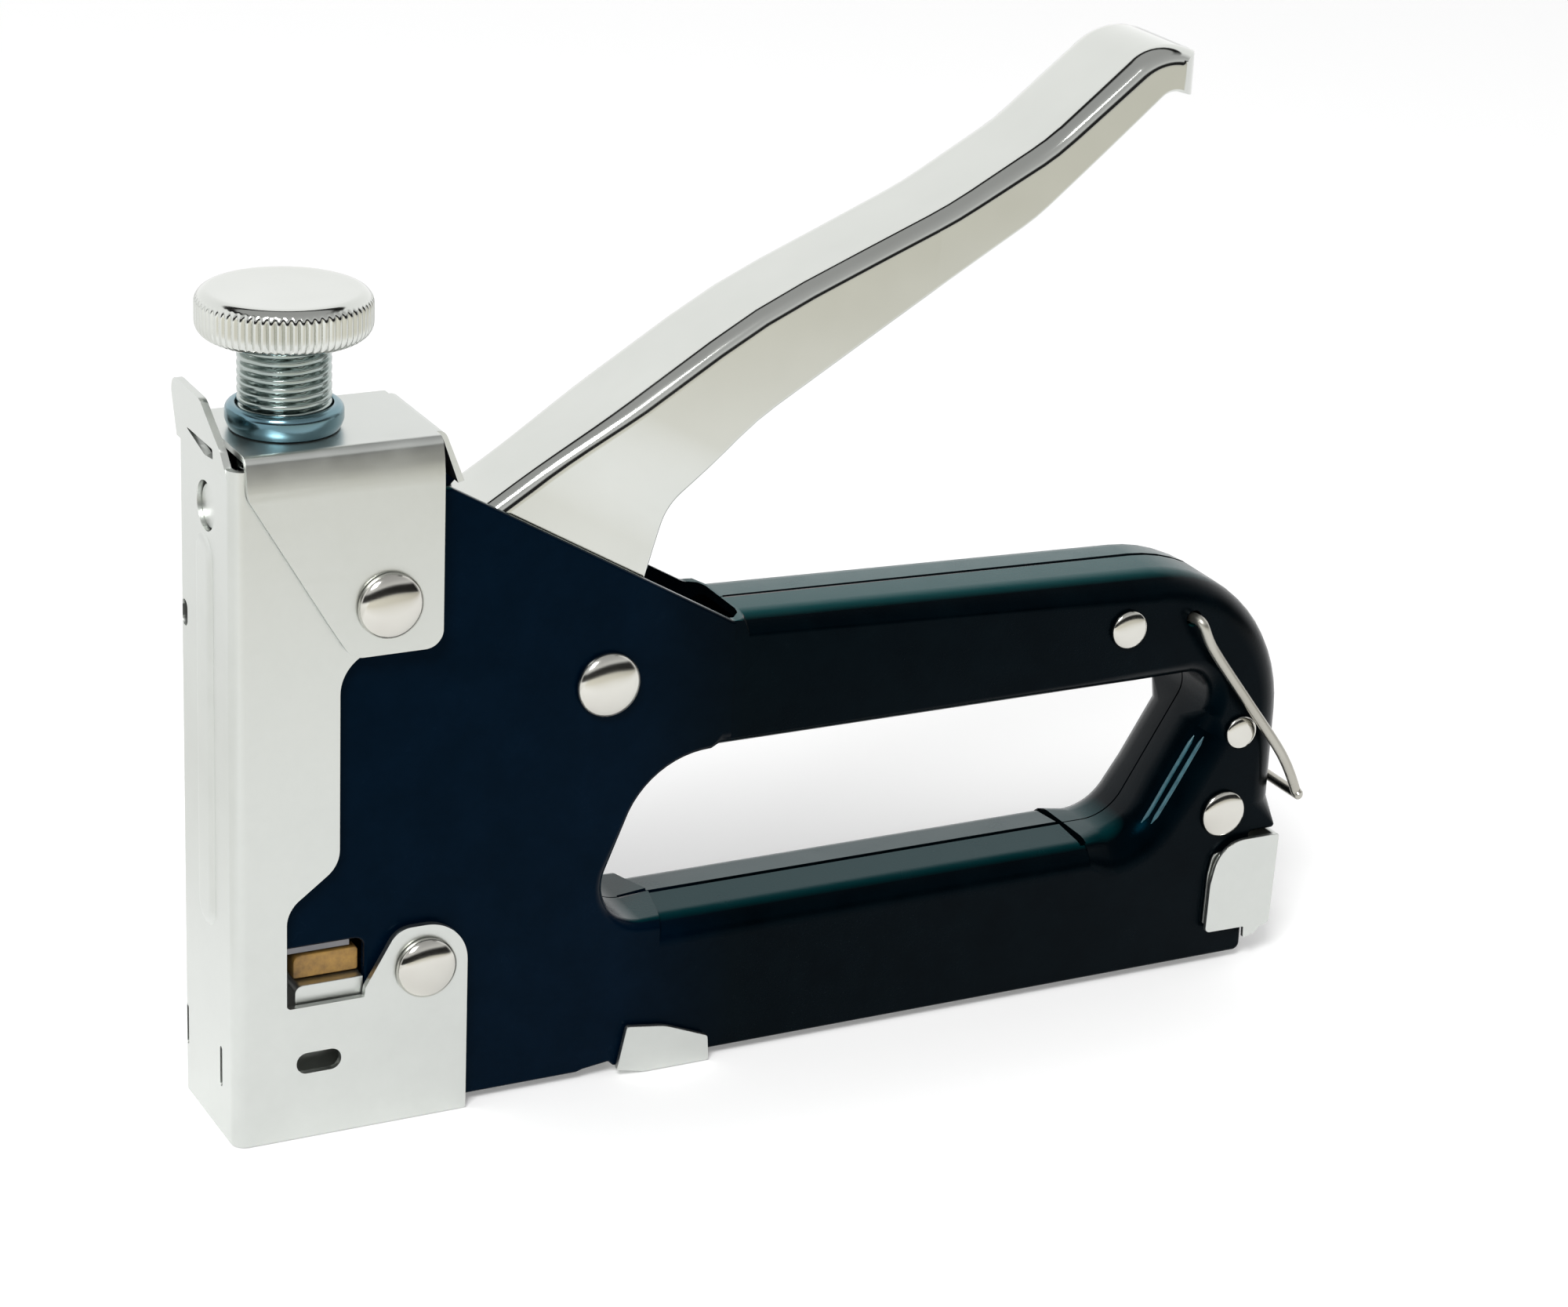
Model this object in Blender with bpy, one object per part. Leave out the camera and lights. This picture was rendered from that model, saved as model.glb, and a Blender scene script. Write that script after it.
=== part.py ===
"""Hand staple gun with a chrome squeeze handle, a knurled power knob and a wire handle lock.

Drawn in millimetres: x runs back from the nose's front face, y across, z up from the work
surface.  The finished parts are in metres, with the origin under the middle of the tool.
"""
import math

import bmesh
import bpy
from mathutils import Vector

MM = 0.001
ORIGIN_X = 86.25  # from the nose's front face back to the middle of the tool
GAP = 0.3  # air between pieces that would touch
ARC_STEP = 22.0  # degrees between the points of a rounded corner

# Widths across the tool, from the middle plane
SHELL_HALF = 9.4
SHELL_WALL = 1.3
SEAM = 0.15
NOSE_HALF = 11.0
NOSE_WALL = 1.0
CAP_HALF = 12.1
CAP_WALL = 0.9
HANDLE_HALF = 7.5
HANDLE_WALL = 1.2
LEVER_HALF = 3.0

# Rivets: x, z, head radius, shank radius, head height
CAP_RIVET = (21.9, 78.8, 4.7, 2.4, 2.1)
PIVOT_RIVET = (55.7, 61.6, 4.8, 3.0, 2.1)
NOSE_RIVET = (28.1, 23.4, 4.5, 2.4, 2.1)
BAR_RIVET = (141.0, 58.4, 2.95, 1.6, 1.1)
REAR_RIVET_UPPER = (162.6, 38.7, 2.6, 1.5, 0.9)
REAR_RIVET_LOWER = (160.6, 25.4, 3.7, 1.8, 1.2)
HOLE_CLEARANCE = 0.25

# Nose and cap
NOSE_TOP = 99.4
NOSE_BACK = 36.0
NOSE_BEND = 2.0
CAP_TOP = 101.4
SLIDE_X = 11.4  # axis of the knob, the screw and the power spring

# Power adjustment
KNOB_RADIUS = 11.95
KNOB_TOP = 120.6
KNOB_FOOT = 114.2
SCREW_RADIUS = 6.35
SCREW_FOOT = 94.0
BUSHING_RADIUS = 8.0
BUSHING_TOP = 105.0
SEAT_TOP = 93.7
SEAT_THICK = 2.2
SPRING_RADIUS = 4.0
SPRING_WIRE = 0.75
SPRING_TURNS = 11

# Striker
STRIKER_FOOT = 27.0
STRIKER_FLOOR = 33.0
CATCH_FOOT = 48.5
CATCH_TOP = 52.5
BLADE_FRONT = 1.4
BLADE_BACK = 2.5

# Magazine
CHANNEL_HALF = 7.0
CHANNEL_WALL = 1.0
CHANNEL_TOP = 17.6
CHANNEL_FOOT = 1.5
RAIL_HALF = 4.8
RAIL_WALL = 0.9
RAIL_TOP = 14.4
RAIL_FOOT = 1.6

# Outlines: corners (x, z, corner radius, edge rounding)
BAR_EDGE = 4.6
SHELL_OUTLINE = [
    (4.0, 28.6, 0.8, 0.4),
    (4.0, 93.2, 1.0, 0.4),
    (32.0, 93.2, 0.8, 0.4),
    (75.4, 68.2, 1.5, 0.5),
    (79.5, 68.4, 2.0, BAR_EDGE),
    (170.7, 65.2, 25.5, BAR_EDGE),
    (170.7, 26.0, 0.0, BAR_EDGE),
    (170.7, 21.3, 0.6, 0.5),
    (166.1, 21.3, 0.4, 0.4),
    (166.1, 1.2, 1.2, 0.4),
    (58.4, 1.2, 0.4, 0.3),
    (57.6, 2.0, 0.4, 0.3),
    (53.5, 1.5, 0.4, 0.3),
    (52.5, 1.2, 0.4, 0.3),
    (19.6, 1.2, 0.6, 0.3),
    (19.6, 28.6, 1.5, 0.4),
]
HAND_OPENING = [
    (62.7, 49.0, 14.0, 0.8),
    (53.4, 23.5, 6.5, 1.6),
    (68.0, 23.5, 0.0, 4.0),
    (138.0, 23.5, 0.0, 4.0),
    (147.0, 23.5, 8.0, 3.2),
    (162.3, 49.0, 8.0, 3.2),
    (146.0, 49.0, 0.0, 2.4),
    (74.0, 49.0, 0.0, 2.4),
]
HOLLOW_OUTLINE = [
    (-2.0, -2.0, 0.0, 0.3),
    (-2.0, 110.0, 0.0, 0.3),
    (77.5, 110.0, 0.0, 0.3),
    (77.5, 67.0, 0.0, 3.3),
    (169.4, 63.9, 24.2, 3.3),
    (169.4, 24.0, 0.0, 1.0),
    (164.8, 24.0, 0.0, 0.3),
    (164.8, 18.2, 0.0, 0.3),
    (180.0, 18.2, 0.0, 0.3),
    (180.0, -2.0, 0.0, 0.3),
]
NOSE_SIDE_CUT = [
    (34.5, -5.0, 0.0),
    (34.5, 29.7, 6.3),
    (24.0, 29.7, 3.6),
    (19.2, 21.6, 0.8),
    (19.0, 20.2, 0.0),
    (7.6, 20.2, 0.6),
    (7.6, 35.2, 4.5),
    (15.3, 41.0, 4.5),
    (15.3, 71.8, 6.0),
    (28.6, 72.6, 1.0),
    (28.6, 110.0, 0.0),
    (60.0, 110.0, 0.0),
    (60.0, -5.0, 0.0),
]
NOSE_TAB = [
    (10.9, 98.0, 0.0),
    (11.0, 107.2, 3.6),
    (-1.6, 107.0, 2.0),
    (-7.4, 101.6, 3.0),
    (-9.5, 98.0, 0.0),
]
FRONT_SLITS = [
    (8.3, 71.4, 75.2, 1.1),
    (9.0, 7.2, 13.4, 0.45),
    (-5.2, 7.2, 13.4, 0.45),
    (0.9, 99.4, 100.2, 0.39),
]
ROUND_HOLE = (-0.7, 91.0, 4.1)
CAP_FLAP = [
    (1.9, 96.0, 4.0),
    (13.6, 76.4, 3.5),
    (16.6, 71.6, 3.0),
    (29.8, 71.6, 2.6),
    (29.8, 110.0, 0.0),
    (1.9, 110.0, 0.0),
]
HANDLE_TOP = [
    (34.5, 86.6, 2.6, 2.2),
    (77.9, 113.4, 100.0, 1.9),
    (107.5, 125.7, 60.0, 1.9),
    (122.4, 133.9, 30.0, 2.1),
    (139.4, 147.5, 9.5, 2.6),
    (149.0, 144.6, 4.2, 2.6),
]
HANDLE_OUTLINE = [
    (49.0, 55.6, 6.0, 0.4),
    (44.0, 72.0, 4.0, 0.4),
    *HANDLE_TOP,
    (147.3, 138.5, 1.2, 1.0),
    (144.4, 139.4, 1.0, 0.6),
    (141.2, 140.4, 3.0, 0.5),
    (120.8, 123.2, 30.0, 0.5),
    (78.0, 97.6, 40.0, 0.5),
    (65.0, 86.3, 9.0, 0.5),
    (61.4, 74.0, 4.0, 0.4),
    (61.4, 55.6, 6.0, 0.4),
]
HANDLE_SPACE = [
    (32.0, 30.0, 0.0, 0.5),
    *HANDLE_TOP,
    (148.0, 110.0, 0.0, 0.5),
    (90.0, 30.0, 0.0, 0.5),
]
HANDLE_TIP = 148.0
HANDLE_TIP_ROUND = 7.4
# The handle widens evenly from between the cheeks to the grip, and from the grip to the tip.  Each
# stretch runs between two heights above the cheek's slope
GRIP_HALF = 8.75
TIP_HALF = 9.6
CHEEK_TO_GRIP = (7.0, 19.0)
GRIP_TO_TIP = (54.0, 90.0)
CHEEK_SLOPE = (32.0, 93.2)
CHEEK_NORMAL = (0.499, 0.866)
LEVER_PIN = (55.8, 87.4)
LEVER_PIN_RADIUS = 2.0
LEVER_OUTLINE = [
    (19.5, 48.2, 1.6),
    (23.0, 48.2, 1.4),
    (26.4, 47.8, 2.5),
    (34.0, 57.6, 6.0),
    (48.6, 68.4, 6.0),
    (47.6, 84.0, 8.0),
    (56.0, 94.4, 3.0),
    (62.6, 90.4, 3.0),
    (60.6, 75.0, 8.0),
    (62.4, 54.6, 6.0),
    (44.0, 52.0, 8.0),
    (24.0, 43.4, 2.0),
    (19.5, 44.6, 1.4),
]
CLIP_SIDE = [
    (58.4, 1.0, 0.3),
    (59.9, 7.8, 0.5),
    (66.0, 6.9, 8.0),
    (73.0, 4.0, 0.8),
    (73.3, 0.0, 0.3),
    (63.0, 0.0, 0.0),
]
LATCH_SIDE = [
    (159.3, 5.9, 0.4),
    (158.8, 13.0, 2.0),
    (160.6, 20.9, 4.0),
    (170.7, 20.9, 0.4),
    (170.1, 5.7, 0.8),
]
CATCH_SIDE = [
    (158.4, 7.0, 0.4),
    (158.2, 15.5, 1.5),
    (159.4, 18.9, 1.2),
    (167.4, 18.9, 0.2),
    (167.4, 7.0, 0.2),
]

BAIL_PIVOT = (152.6, 58.5)
BAIL_RADIUS = 0.8
BAIL_HALF = 11.7
BAIL_KNEE = (155.0, 54.0)
BAIL_HEEL = (169.0, 35.0)
BAIL_FOOT = (172.2, 28.6)
BAIL_MIDDLE = ((BAIL_KNEE[0] + BAIL_HEEL[0]) / 2.0, (BAIL_KNEE[1] + BAIL_HEEL[1]) / 2.0)
BAIL_ARM = [BAIL_PIVOT, BAIL_KNEE, BAIL_MIDDLE, BAIL_HEEL, BAIL_FOOT]


# ---------------------------------------------------------------- materials

def material(name, colour, roughness, metallic):
    made = bpy.data.materials.new(name)
    made.use_nodes = True
    shader = made.node_tree.nodes["Principled BSDF"]
    shader.inputs["Base Color"].default_value = (*colour, 1.0)
    shader.inputs["Roughness"].default_value = roughness
    shader.inputs["Metallic"].default_value = metallic
    made.diffuse_color = (*colour, 1.0)
    return made


# ---------------------------------------------------------------- outlines

def rounded(corners):
    """Corners (x, z, radius[, edge]) as points (x, z, edge), each corner turned into an arc."""
    points = []
    count = len(corners)
    for index, corner in enumerate(corners):
        here = Vector(corner[:2])
        edge = corner[3] if len(corner) > 3 else 0.0
        radius = corner[2]
        if radius == 0.0:
            points.append((here.x, here.y, edge))
            continue
        before = (Vector(corners[index - 1][:2]) - here).normalized()
        after = (Vector(corners[(index + 1) % count][:2]) - here).normalized()
        half = before.angle(after) / 2.0
        centre = here + (before + after).normalized() * radius / math.sin(half)
        start = here + before * radius / math.tan(half) - centre
        sweep = math.pi - 2.0 * half
        if before.x * after.y - before.y * after.x > 0.0:
            sweep = -sweep
        steps = max(2, math.ceil(abs(math.degrees(sweep)) / ARC_STEP))
        for step in range(steps + 1):
            angle = sweep * step / steps
            turned = (
                start.x * math.cos(angle) - start.y * math.sin(angle),
                start.x * math.sin(angle) + start.y * math.cos(angle),
            )
            points.append((centre.x + turned[0], centre.y + turned[1], edge))
    return points


def signed_area(points):
    total = 0.0
    for index, point in enumerate(points):
        last = points[index - 1]
        total += last[0] * point[1] - point[0] * last[1]
    return total / 2.0


def inset(points, depth_of):
    """Points moved into the outline, each by depth_of(edge)."""
    side = 1.0 if signed_area(points) > 0.0 else -1.0
    moved = []
    count = len(points)
    for index, point in enumerate(points):
        here = Vector(point[:2])
        before = (here - Vector(points[index - 1][:2])).normalized()
        after = (Vector(points[(index + 1) % count][:2]) - here).normalized()
        normal = Vector((-before.y - after.y, before.x + after.x)) * side
        scale = 1.0 + before.dot(after)
        shift = normal / max(scale, 0.4) * depth_of(point[2])
        moved.append((here.x + shift.x, here.y + shift.y))
    return moved


# ---------------------------------------------------------------- solids

def finish(name, mesh_builder, look, smooth_below=35.0):
    """A new object from a bmesh in millimetres, moved to the tool's own origin."""
    bmesh.ops.remove_doubles(mesh_builder, verts=mesh_builder.verts, dist=0.002)
    bmesh.ops.recalc_face_normals(mesh_builder, faces=mesh_builder.faces)
    for vertex in mesh_builder.verts:
        vertex.co = Vector((vertex.co.x - ORIGIN_X, vertex.co.y, vertex.co.z)) * MM
    mesh = bpy.data.meshes.new(name)
    mesh_builder.to_mesh(mesh)
    mesh_builder.free()
    mesh.shade_smooth()
    mesh.set_sharp_from_angle(angle=math.radians(smooth_below))
    made = bpy.data.objects.new(name, mesh)
    bpy.context.scene.collection.objects.link(made)
    if look is not None:
        mesh.materials.append(look)
    return made


def set_origin(piece, x, z):
    """Move a piece's origin to its joint axis without moving its shape."""
    pivot = Vector(((x - ORIGIN_X) * MM, 0.0, z * MM))
    for vertex in piece.data.vertices:
        vertex.co = vertex.co - pivot
    piece.location = pivot


def skin(builder, rings):
    """Closed solid through rings of equal length, with a flat face at each end."""
    loops = [[builder.verts.new(point) for point in ring] for ring in rings]
    for first, second in zip(loops, loops[1:]):
        for index in range(len(first)):
            builder.faces.new((first[index - 1], first[index], second[index], second[index - 1]))
    builder.faces.new(loops[0])
    builder.faces.new(list(reversed(loops[-1])))


def soft_slab(name, outline, low, high, look=None, soft_low=False, soft_high=True, flare=False, steps=3):
    """An outline in x and z given depth along y, its edges rounded by each point's edge radius."""
    points = rounded(outline)
    sign = -1.0 if flare else 1.0
    rings = []

    def ring(y_of, depth_of):
        flat = inset(points, depth_of)
        return [(flat[i][0], y_of(points[i][2]), flat[i][1]) for i in range(len(points))]

    angles = [math.pi / 2.0 * step / steps for step in range(steps + 1)]
    if soft_low:
        for angle in reversed(angles):
            rings.append(ring(
                lambda edge, a=angle: low + edge * (1.0 - math.sin(a)),
                lambda edge, a=angle: sign * edge * (1.0 - math.cos(a)),
            ))
    else:
        rings.append(ring(lambda edge: low, lambda edge: 0.0))
    if soft_high:
        for angle in angles:
            rings.append(ring(
                lambda edge, a=angle: high - edge * (1.0 - math.sin(a)),
                lambda edge, a=angle: sign * edge * (1.0 - math.cos(a)),
            ))
        if flare:
            rings.append(ring(lambda edge: high + 2.0, lambda edge: sign * edge))
    else:
        rings.append(ring(lambda edge: high, lambda edge: 0.0))
    builder = bmesh.new()
    skin(builder, rings)
    return finish(name, builder, look)


def plate(name, outline, low, high, look=None):
    """An outline in x and z with square edges, from y low to y high."""
    return soft_slab(name, outline, low, high, look, soft_high=False)


def upright(name, outline, low, high, look=None):
    """An outline in x and y given height along z."""
    points = rounded(outline)
    builder = bmesh.new()
    skin(builder, [[(x, y, z) for x, y, edge in points] for z in (low, high)])
    return finish(name, builder, look)


def across(name, outline, low, high, look=None):
    """An outline in y and z given depth along x."""
    points = rounded(outline)
    builder = bmesh.new()
    skin(builder, [[(x, y, z) for y, z, edge in points] for x in (low, high)])
    return finish(name, builder, look)


def box(name, low, high, look=None):
    outline = [(low[0], low[2], 0.0), (low[0], high[2], 0.0), (high[0], high[2], 0.0), (high[0], low[2], 0.0)]
    return plate(name, outline, low[1], high[1], look)


def turned(name, profile, centre, axis, look=None, sides=24, closed=False):
    """A profile of (radius, height) turned about the z or y axis through centre."""
    builder = bmesh.new()
    loops = []
    for radius, height in profile:
        ring_sides = 1 if radius == 0.0 else sides
        ring = []
        for side in range(ring_sides):
            angle = 2.0 * math.pi * side / sides
            first = radius * math.cos(angle)
            second = radius * math.sin(angle)
            place = (first, second, height) if axis == "z" else (first, height, second)
            ring.append(builder.verts.new(Vector(centre) + Vector(place)))
        loops.append(ring)
    pairs = list(zip(loops, loops[1:]))
    if closed:
        pairs.append((loops[-1], loops[0]))
    for first, second in pairs:
        for side in range(sides):
            corners = [first[(side - 1) % len(first)], first[side % len(first)]]
            corners += [second[side % len(second)], second[(side - 1) % len(second)]]
            unique = list(dict.fromkeys(corners))
            if len(unique) > 2:
                builder.faces.new(unique)
    return finish(name, builder, look)


def tube(name, path, radius, look, sides=8):
    """A round wire along a path of points, closed at both ends."""
    builder = bmesh.new()
    rings = []
    path = [Vector(point) for point in path]
    across_wire = None
    for index, point in enumerate(path):
        ahead = path[min(index + 1, len(path) - 1)] - path[max(index - 1, 0)]
        ahead.normalize()
        if across_wire is None:
            across_wire = ahead.orthogonal().normalized()
        across_wire = (across_wire - ahead * across_wire.dot(ahead)).normalized()
        third = ahead.cross(across_wire)
        angles = [2.0 * math.pi * side / sides for side in range(sides)]
        rings.append([point + radius * (across_wire * math.cos(a) + third * math.sin(a)) for a in angles])
    skin(builder, rings)
    return finish(name, builder, look)


def helix(centre, radius, low, high, turns, per_turn):
    count = int(turns * per_turn)
    path = []
    for step in range(count + 1):
        angle = 2.0 * math.pi * step / per_turn
        height = low + (high - low) * step / count
        path.append((centre[0] + radius * math.cos(angle), centre[1] + radius * math.sin(angle), height))
    return path


def smooth_path(corners, per_span=4):
    """Points on a Catmull-Rom curve through the corners."""
    knots = [Vector(corner) for corner in corners]
    knots = [2 * knots[0] - knots[1], *knots, 2 * knots[-1] - knots[-2]]
    path = []
    for index in range(1, len(knots) - 2):
        a, b, c, d = knots[index - 1:index + 3]
        for step in range(per_span):
            t = step / per_span
            spread = (2 * a - 5 * b + 4 * c - d) * t * t + (3 * b - a - 3 * c + d) * t ** 3
            path.append((2 * b + (c - a) * t + spread) / 2)
    path.append(knots[-2])
    return path


# ---------------------------------------------------------------- cutting

def cut(target, cutter, operation="DIFFERENCE"):
    modifier = target.modifiers.new(cutter.name, "BOOLEAN")
    modifier.operation = operation
    modifier.solver = "EXACT"
    modifier.object = cutter
    cutter.hide_render = True
    cutter.display_type = "WIRE"


def settle(piece):
    """Apply the piece's cuts now, so that its finished mesh can be shaped further."""
    bpy.context.view_layer.update()
    graph = bpy.context.evaluated_depsgraph_get()
    mesh = bpy.data.meshes.new_from_object(piece.evaluated_get(graph))
    piece.modifiers.clear()
    piece.data = mesh


def drill(targets, name, x, z, radius, half=20.0, sides=14):
    """One round hole right across the tool, through every target."""
    profile = [(0.0, -half), (radius, -half), (radius, half), (0.0, half)]
    cutter = turned(name, profile, (x, 0.0, z), "y", sides=sides)
    for target in targets:
        cut(target, cutter)


# ---------------------------------------------------------------- sub-parts

def make_shell(name, side, look):
    """One stamped half of the body: a drawn cheek and bars round the hand opening."""
    shell = soft_slab(name, SHELL_OUTLINE, SEAM, SHELL_HALF, look)
    opening = soft_slab(name + "_opening_cut", HAND_OPENING, -2.0, SHELL_HALF, flare=True)
    hollow = soft_slab(name + "_hollow_cut", HOLLOW_OUTLINE, -2.0, SHELL_HALF - SHELL_WALL, steps=2)
    rim_corners = thinned(grow(HAND_OPENING, SHELL_WALL), SHELL_WALL)
    rim = soft_slab(name + "_rim_cut", rim_corners, -3.0, SHELL_HALF - SHELL_WALL, flare=True, steps=2)
    cut(hollow, rim)
    cut(shell, opening)
    cut(shell, hollow)
    pieces = [shell, opening, hollow, rim]
    for rivet in (CAP_RIVET, PIVOT_RIVET, NOSE_RIVET, BAR_RIVET, REAR_RIVET_UPPER, REAR_RIVET_LOWER):
        x, z, head, shank, height = rivet
        drill_name = name + "_hole_%d_%d" % (round(x), round(z))
        profile = [(0.0, -2.0), (shank + HOLE_CLEARANCE, -2.0), (shank + HOLE_CLEARANCE, 12.0), (0.0, 12.0)]
        hole = turned(drill_name, profile, (x, 0.0, z), "y", sides=12)
        cut(shell, hole)
        pieces.append(hole)
    profile = [(0.0, -2.0), (BAIL_RADIUS + 0.5, -2.0), (BAIL_RADIUS + 0.5, 12.0), (0.0, 12.0)]
    hole = turned(name + "_bail_hole", profile, (BAIL_PIVOT[0], 0.0, BAIL_PIVOT[1]), "y", sides=12)
    cut(shell, hole)
    pieces.append(hole)
    if side < 0:
        for piece in pieces:
            mirror_across(piece)
    return shell


def grow(corners, amount):
    """The corners moved out from the outline, with the corner radii grown to match."""
    flat = [(x, z, 0.0) for x, z, r, e in corners]
    moved = inset(flat, lambda edge: -amount)
    grown = []
    for (x, z), corner in zip(moved, corners):
        radius = corner[2] + amount if corner[2] > 0.0 else 0.0
        grown.append((x, z, max(radius, 0.0), corner[3]))
    return grown


def thinned(corners, wall):
    """The corners with each edge radius reduced by the wall, for the inside of a rounded sheet."""
    return [(x, z, r, max(e - wall, 0.3)) for x, z, r, e in corners]


def mirror_across(piece):
    """Swap a piece to the other side of the middle plane, with its faces still outward."""
    for vertex in piece.data.vertices:
        vertex.co.y = -vertex.co.y
    piece.data.flip_normals()


def make_nose(look):
    """The folded sheet round the front, with its window, its slots and its forward tab."""
    outline = [
        (0.0, -NOSE_HALF, NOSE_BEND),
        (NOSE_BACK, -NOSE_HALF, 0.0),
        (NOSE_BACK, -NOSE_HALF + NOSE_WALL, 0.0),
        (NOSE_WALL, -NOSE_HALF + NOSE_WALL, NOSE_BEND - NOSE_WALL),
        (NOSE_WALL, NOSE_HALF - NOSE_WALL, NOSE_BEND - NOSE_WALL),
        (NOSE_BACK, NOSE_HALF - NOSE_WALL, 0.0),
        (NOSE_BACK, NOSE_HALF, 0.0),
        (0.0, NOSE_HALF, NOSE_BEND),
    ]
    nose = upright("nose_channel", outline, 0.0, NOSE_TOP, look)
    tab = across("nose_tab", NOSE_TAB, 0.0, NOSE_WALL)
    for vertex in tab.data.vertices:
        above = max(vertex.co.z - 99.0 * MM, 0.0)
        vertex.co.x -= above * 0.13
    cut(nose, tab, "UNION")
    cut(nose, plate("nose_side_cut", NOSE_SIDE_CUT, -15.0, 15.0))
    slot = [(9.0, 9.9, 1.55), (15.6, 9.9, 1.55), (15.6, 13.1, 1.55), (9.0, 13.1, 1.55)]
    cut(nose, plate("nose_oblong_cut", slot, -15.0, 15.0))
    y, z, radius = ROUND_HOLE
    ring = [(y - radius, z - radius, radius), (y - radius, z + radius, radius)]
    ring += [(y + radius, z + radius, radius), (y + radius, z - radius, radius)]
    cut(nose, across("nose_round_cut", ring, -4.0, 4.0))
    for number, (y, low, high, half) in enumerate(FRONT_SLITS):
        outline = [(y - half, low, half), (y + half, low, half), (y + half, high, half), (y - half, high, half)]
        cut(nose, across("nose_slit_cut_%d" % number, outline, -4.0, 1.6))
    for rivet in (CAP_RIVET, NOSE_RIVET):
        drill([nose], "nose_hole_%d" % round(rivet[0]), rivet[0], rivet[1], rivet[3] + HOLE_CLEARANCE)
    return nose


def make_cap(look):
    """The saddle over the nose: a top plate, two side flaps and a short bent lip behind."""
    front = 1.9
    back = 29.8
    half = CAP_HALF
    wall = CAP_WALL
    outline = [
        (-half, 60.0, 0.0),
        (-half, CAP_TOP, 1.4),
        (half, CAP_TOP, 1.4),
        (half, 60.0, 0.0),
        (half - wall, 60.0, 0.0),
        (half - wall, CAP_TOP - wall, 0.5),
        (-half + wall, CAP_TOP - wall, 0.5),
        (-half + wall, 60.0, 0.0),
    ]
    cap = across("top_cap", outline, front, back, look)
    keep = plate("cap_side_keep", CAP_FLAP, -20.0, 20.0)
    cut(cap, keep, "INTERSECT")
    lip = [
        (29.0, CAP_TOP, 0.0),
        (31.0, CAP_TOP, 1.5),
        (33.9, 94.0, 0.0),
        (33.0, 93.7, 0.0),
        (30.6, CAP_TOP - wall, 0.6),
        (29.0, CAP_TOP - wall, 0.0),
    ]
    cut(cap, plate("cap_lip", lip, -8.8, 8.8), "UNION")
    bore = [(0.0, 90.0), (SCREW_RADIUS + 0.3, 90.0), (SCREW_RADIUS + 0.3, 110.0), (0.0, 110.0)]
    cut(cap, turned("cap_bore_cut", bore, (SLIDE_X, 0.0, 0.0), "z"))
    drill([cap], "cap_hole", CAP_RIVET[0], CAP_RIVET[1], CAP_RIVET[3] + HOLE_CLEARANCE)
    return cap


def make_rivet(name, spec, seat_half, look, sides=16):
    """A through rivet with a domed head on each side."""
    x, z, head, shank, height = spec
    base = seat_half + 0.2
    dome = []
    for step in range(4):
        angle = math.pi / 2.0 * step / 3
        dome.append((head * math.sin(angle), base + 0.25 + (height - 0.25) * math.cos(angle)))
    dome.append((head, base))
    profile = [(r, y) for r, y in dome] + [(shank, base)]
    profile += [(r, -y) for r, y in reversed(profile)]
    return turned(name, profile, (x, 0.0, z), "y", look, sides=sides)


def round_tip(name, wall):
    """A block whose rear end is round in plan, to keep the handle inside of."""
    half = HANDLE_HALF + 0.5 - wall
    tip = HANDLE_TIP - wall
    bend = HANDLE_TIP_ROUND - wall
    return upright(name, [(20.0, -half, 0.0), (tip, -half, bend), (tip, half, bend), (20.0, half, 0.0)], 20.0, 170.0)


def half_width_at(height):
    """The handle's half width at a height above the cheek's slope."""
    half = HANDLE_HALF
    for (low, high), wide in ((CHEEK_TO_GRIP, GRIP_HALF), (GRIP_TO_TIP, TIP_HALF)):
        share = min(max((height - low) / (high - low), 0.0), 1.0)
        half += (wide - half) * share
    return half


def spread(piece):
    """Widen a piece of the handle where it stands clear of the cheeks."""
    foot = Vector((CHEEK_SLOPE[0] - ORIGIN_X, 0.0, CHEEK_SLOPE[1])) * MM
    up = Vector((CHEEK_NORMAL[0], 0.0, CHEEK_NORMAL[1])).normalized()
    builder = bmesh.new()
    builder.from_mesh(piece.data)
    for height in (*CHEEK_TO_GRIP, *GRIP_TO_TIP):
        whole = [*builder.verts, *builder.edges, *builder.faces]
        bmesh.ops.bisect_plane(builder, geom=whole, plane_co=foot + up * height * MM, plane_no=up)
    for vertex in builder.verts:
        height = (vertex.co - foot).dot(up) / MM
        vertex.co.y *= half_width_at(height) / HANDLE_HALF
    builder.normal_update()
    bent = []
    for face in builder.faces:
        centre = face.calc_center_median()
        if max(abs((corner.co - centre).dot(face.normal)) for corner in face.verts) > 1e-7:
            bent.append(face)
    bmesh.ops.triangulate(builder, faces=bent)
    builder.to_mesh(piece.data)
    builder.free()


def make_handle(look):
    handle = soft_slab("handle_cover", HANDLE_OUTLINE, -HANDLE_HALF, HANDLE_HALF, look, soft_low=True)
    inner = HANDLE_HALF - HANDLE_WALL
    space = thinned(grow(HANDLE_SPACE, -HANDLE_WALL), HANDLE_WALL)
    hollow = soft_slab("handle_hollow_cut", space, -inner, inner, soft_low=True, steps=2)
    cut(hollow, round_tip("handle_hollow_tip_keep", HANDLE_WALL), "INTERSECT")
    cut(handle, round_tip("handle_tip_keep", 0.0), "INTERSECT")
    cut(handle, hollow)
    drill([handle], "handle_pivot_cut", PIVOT_RIVET[0], PIVOT_RIVET[1], PIVOT_RIVET[3] + HOLE_CLEARANCE)
    settle(handle)
    spread(handle)
    return handle


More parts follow.
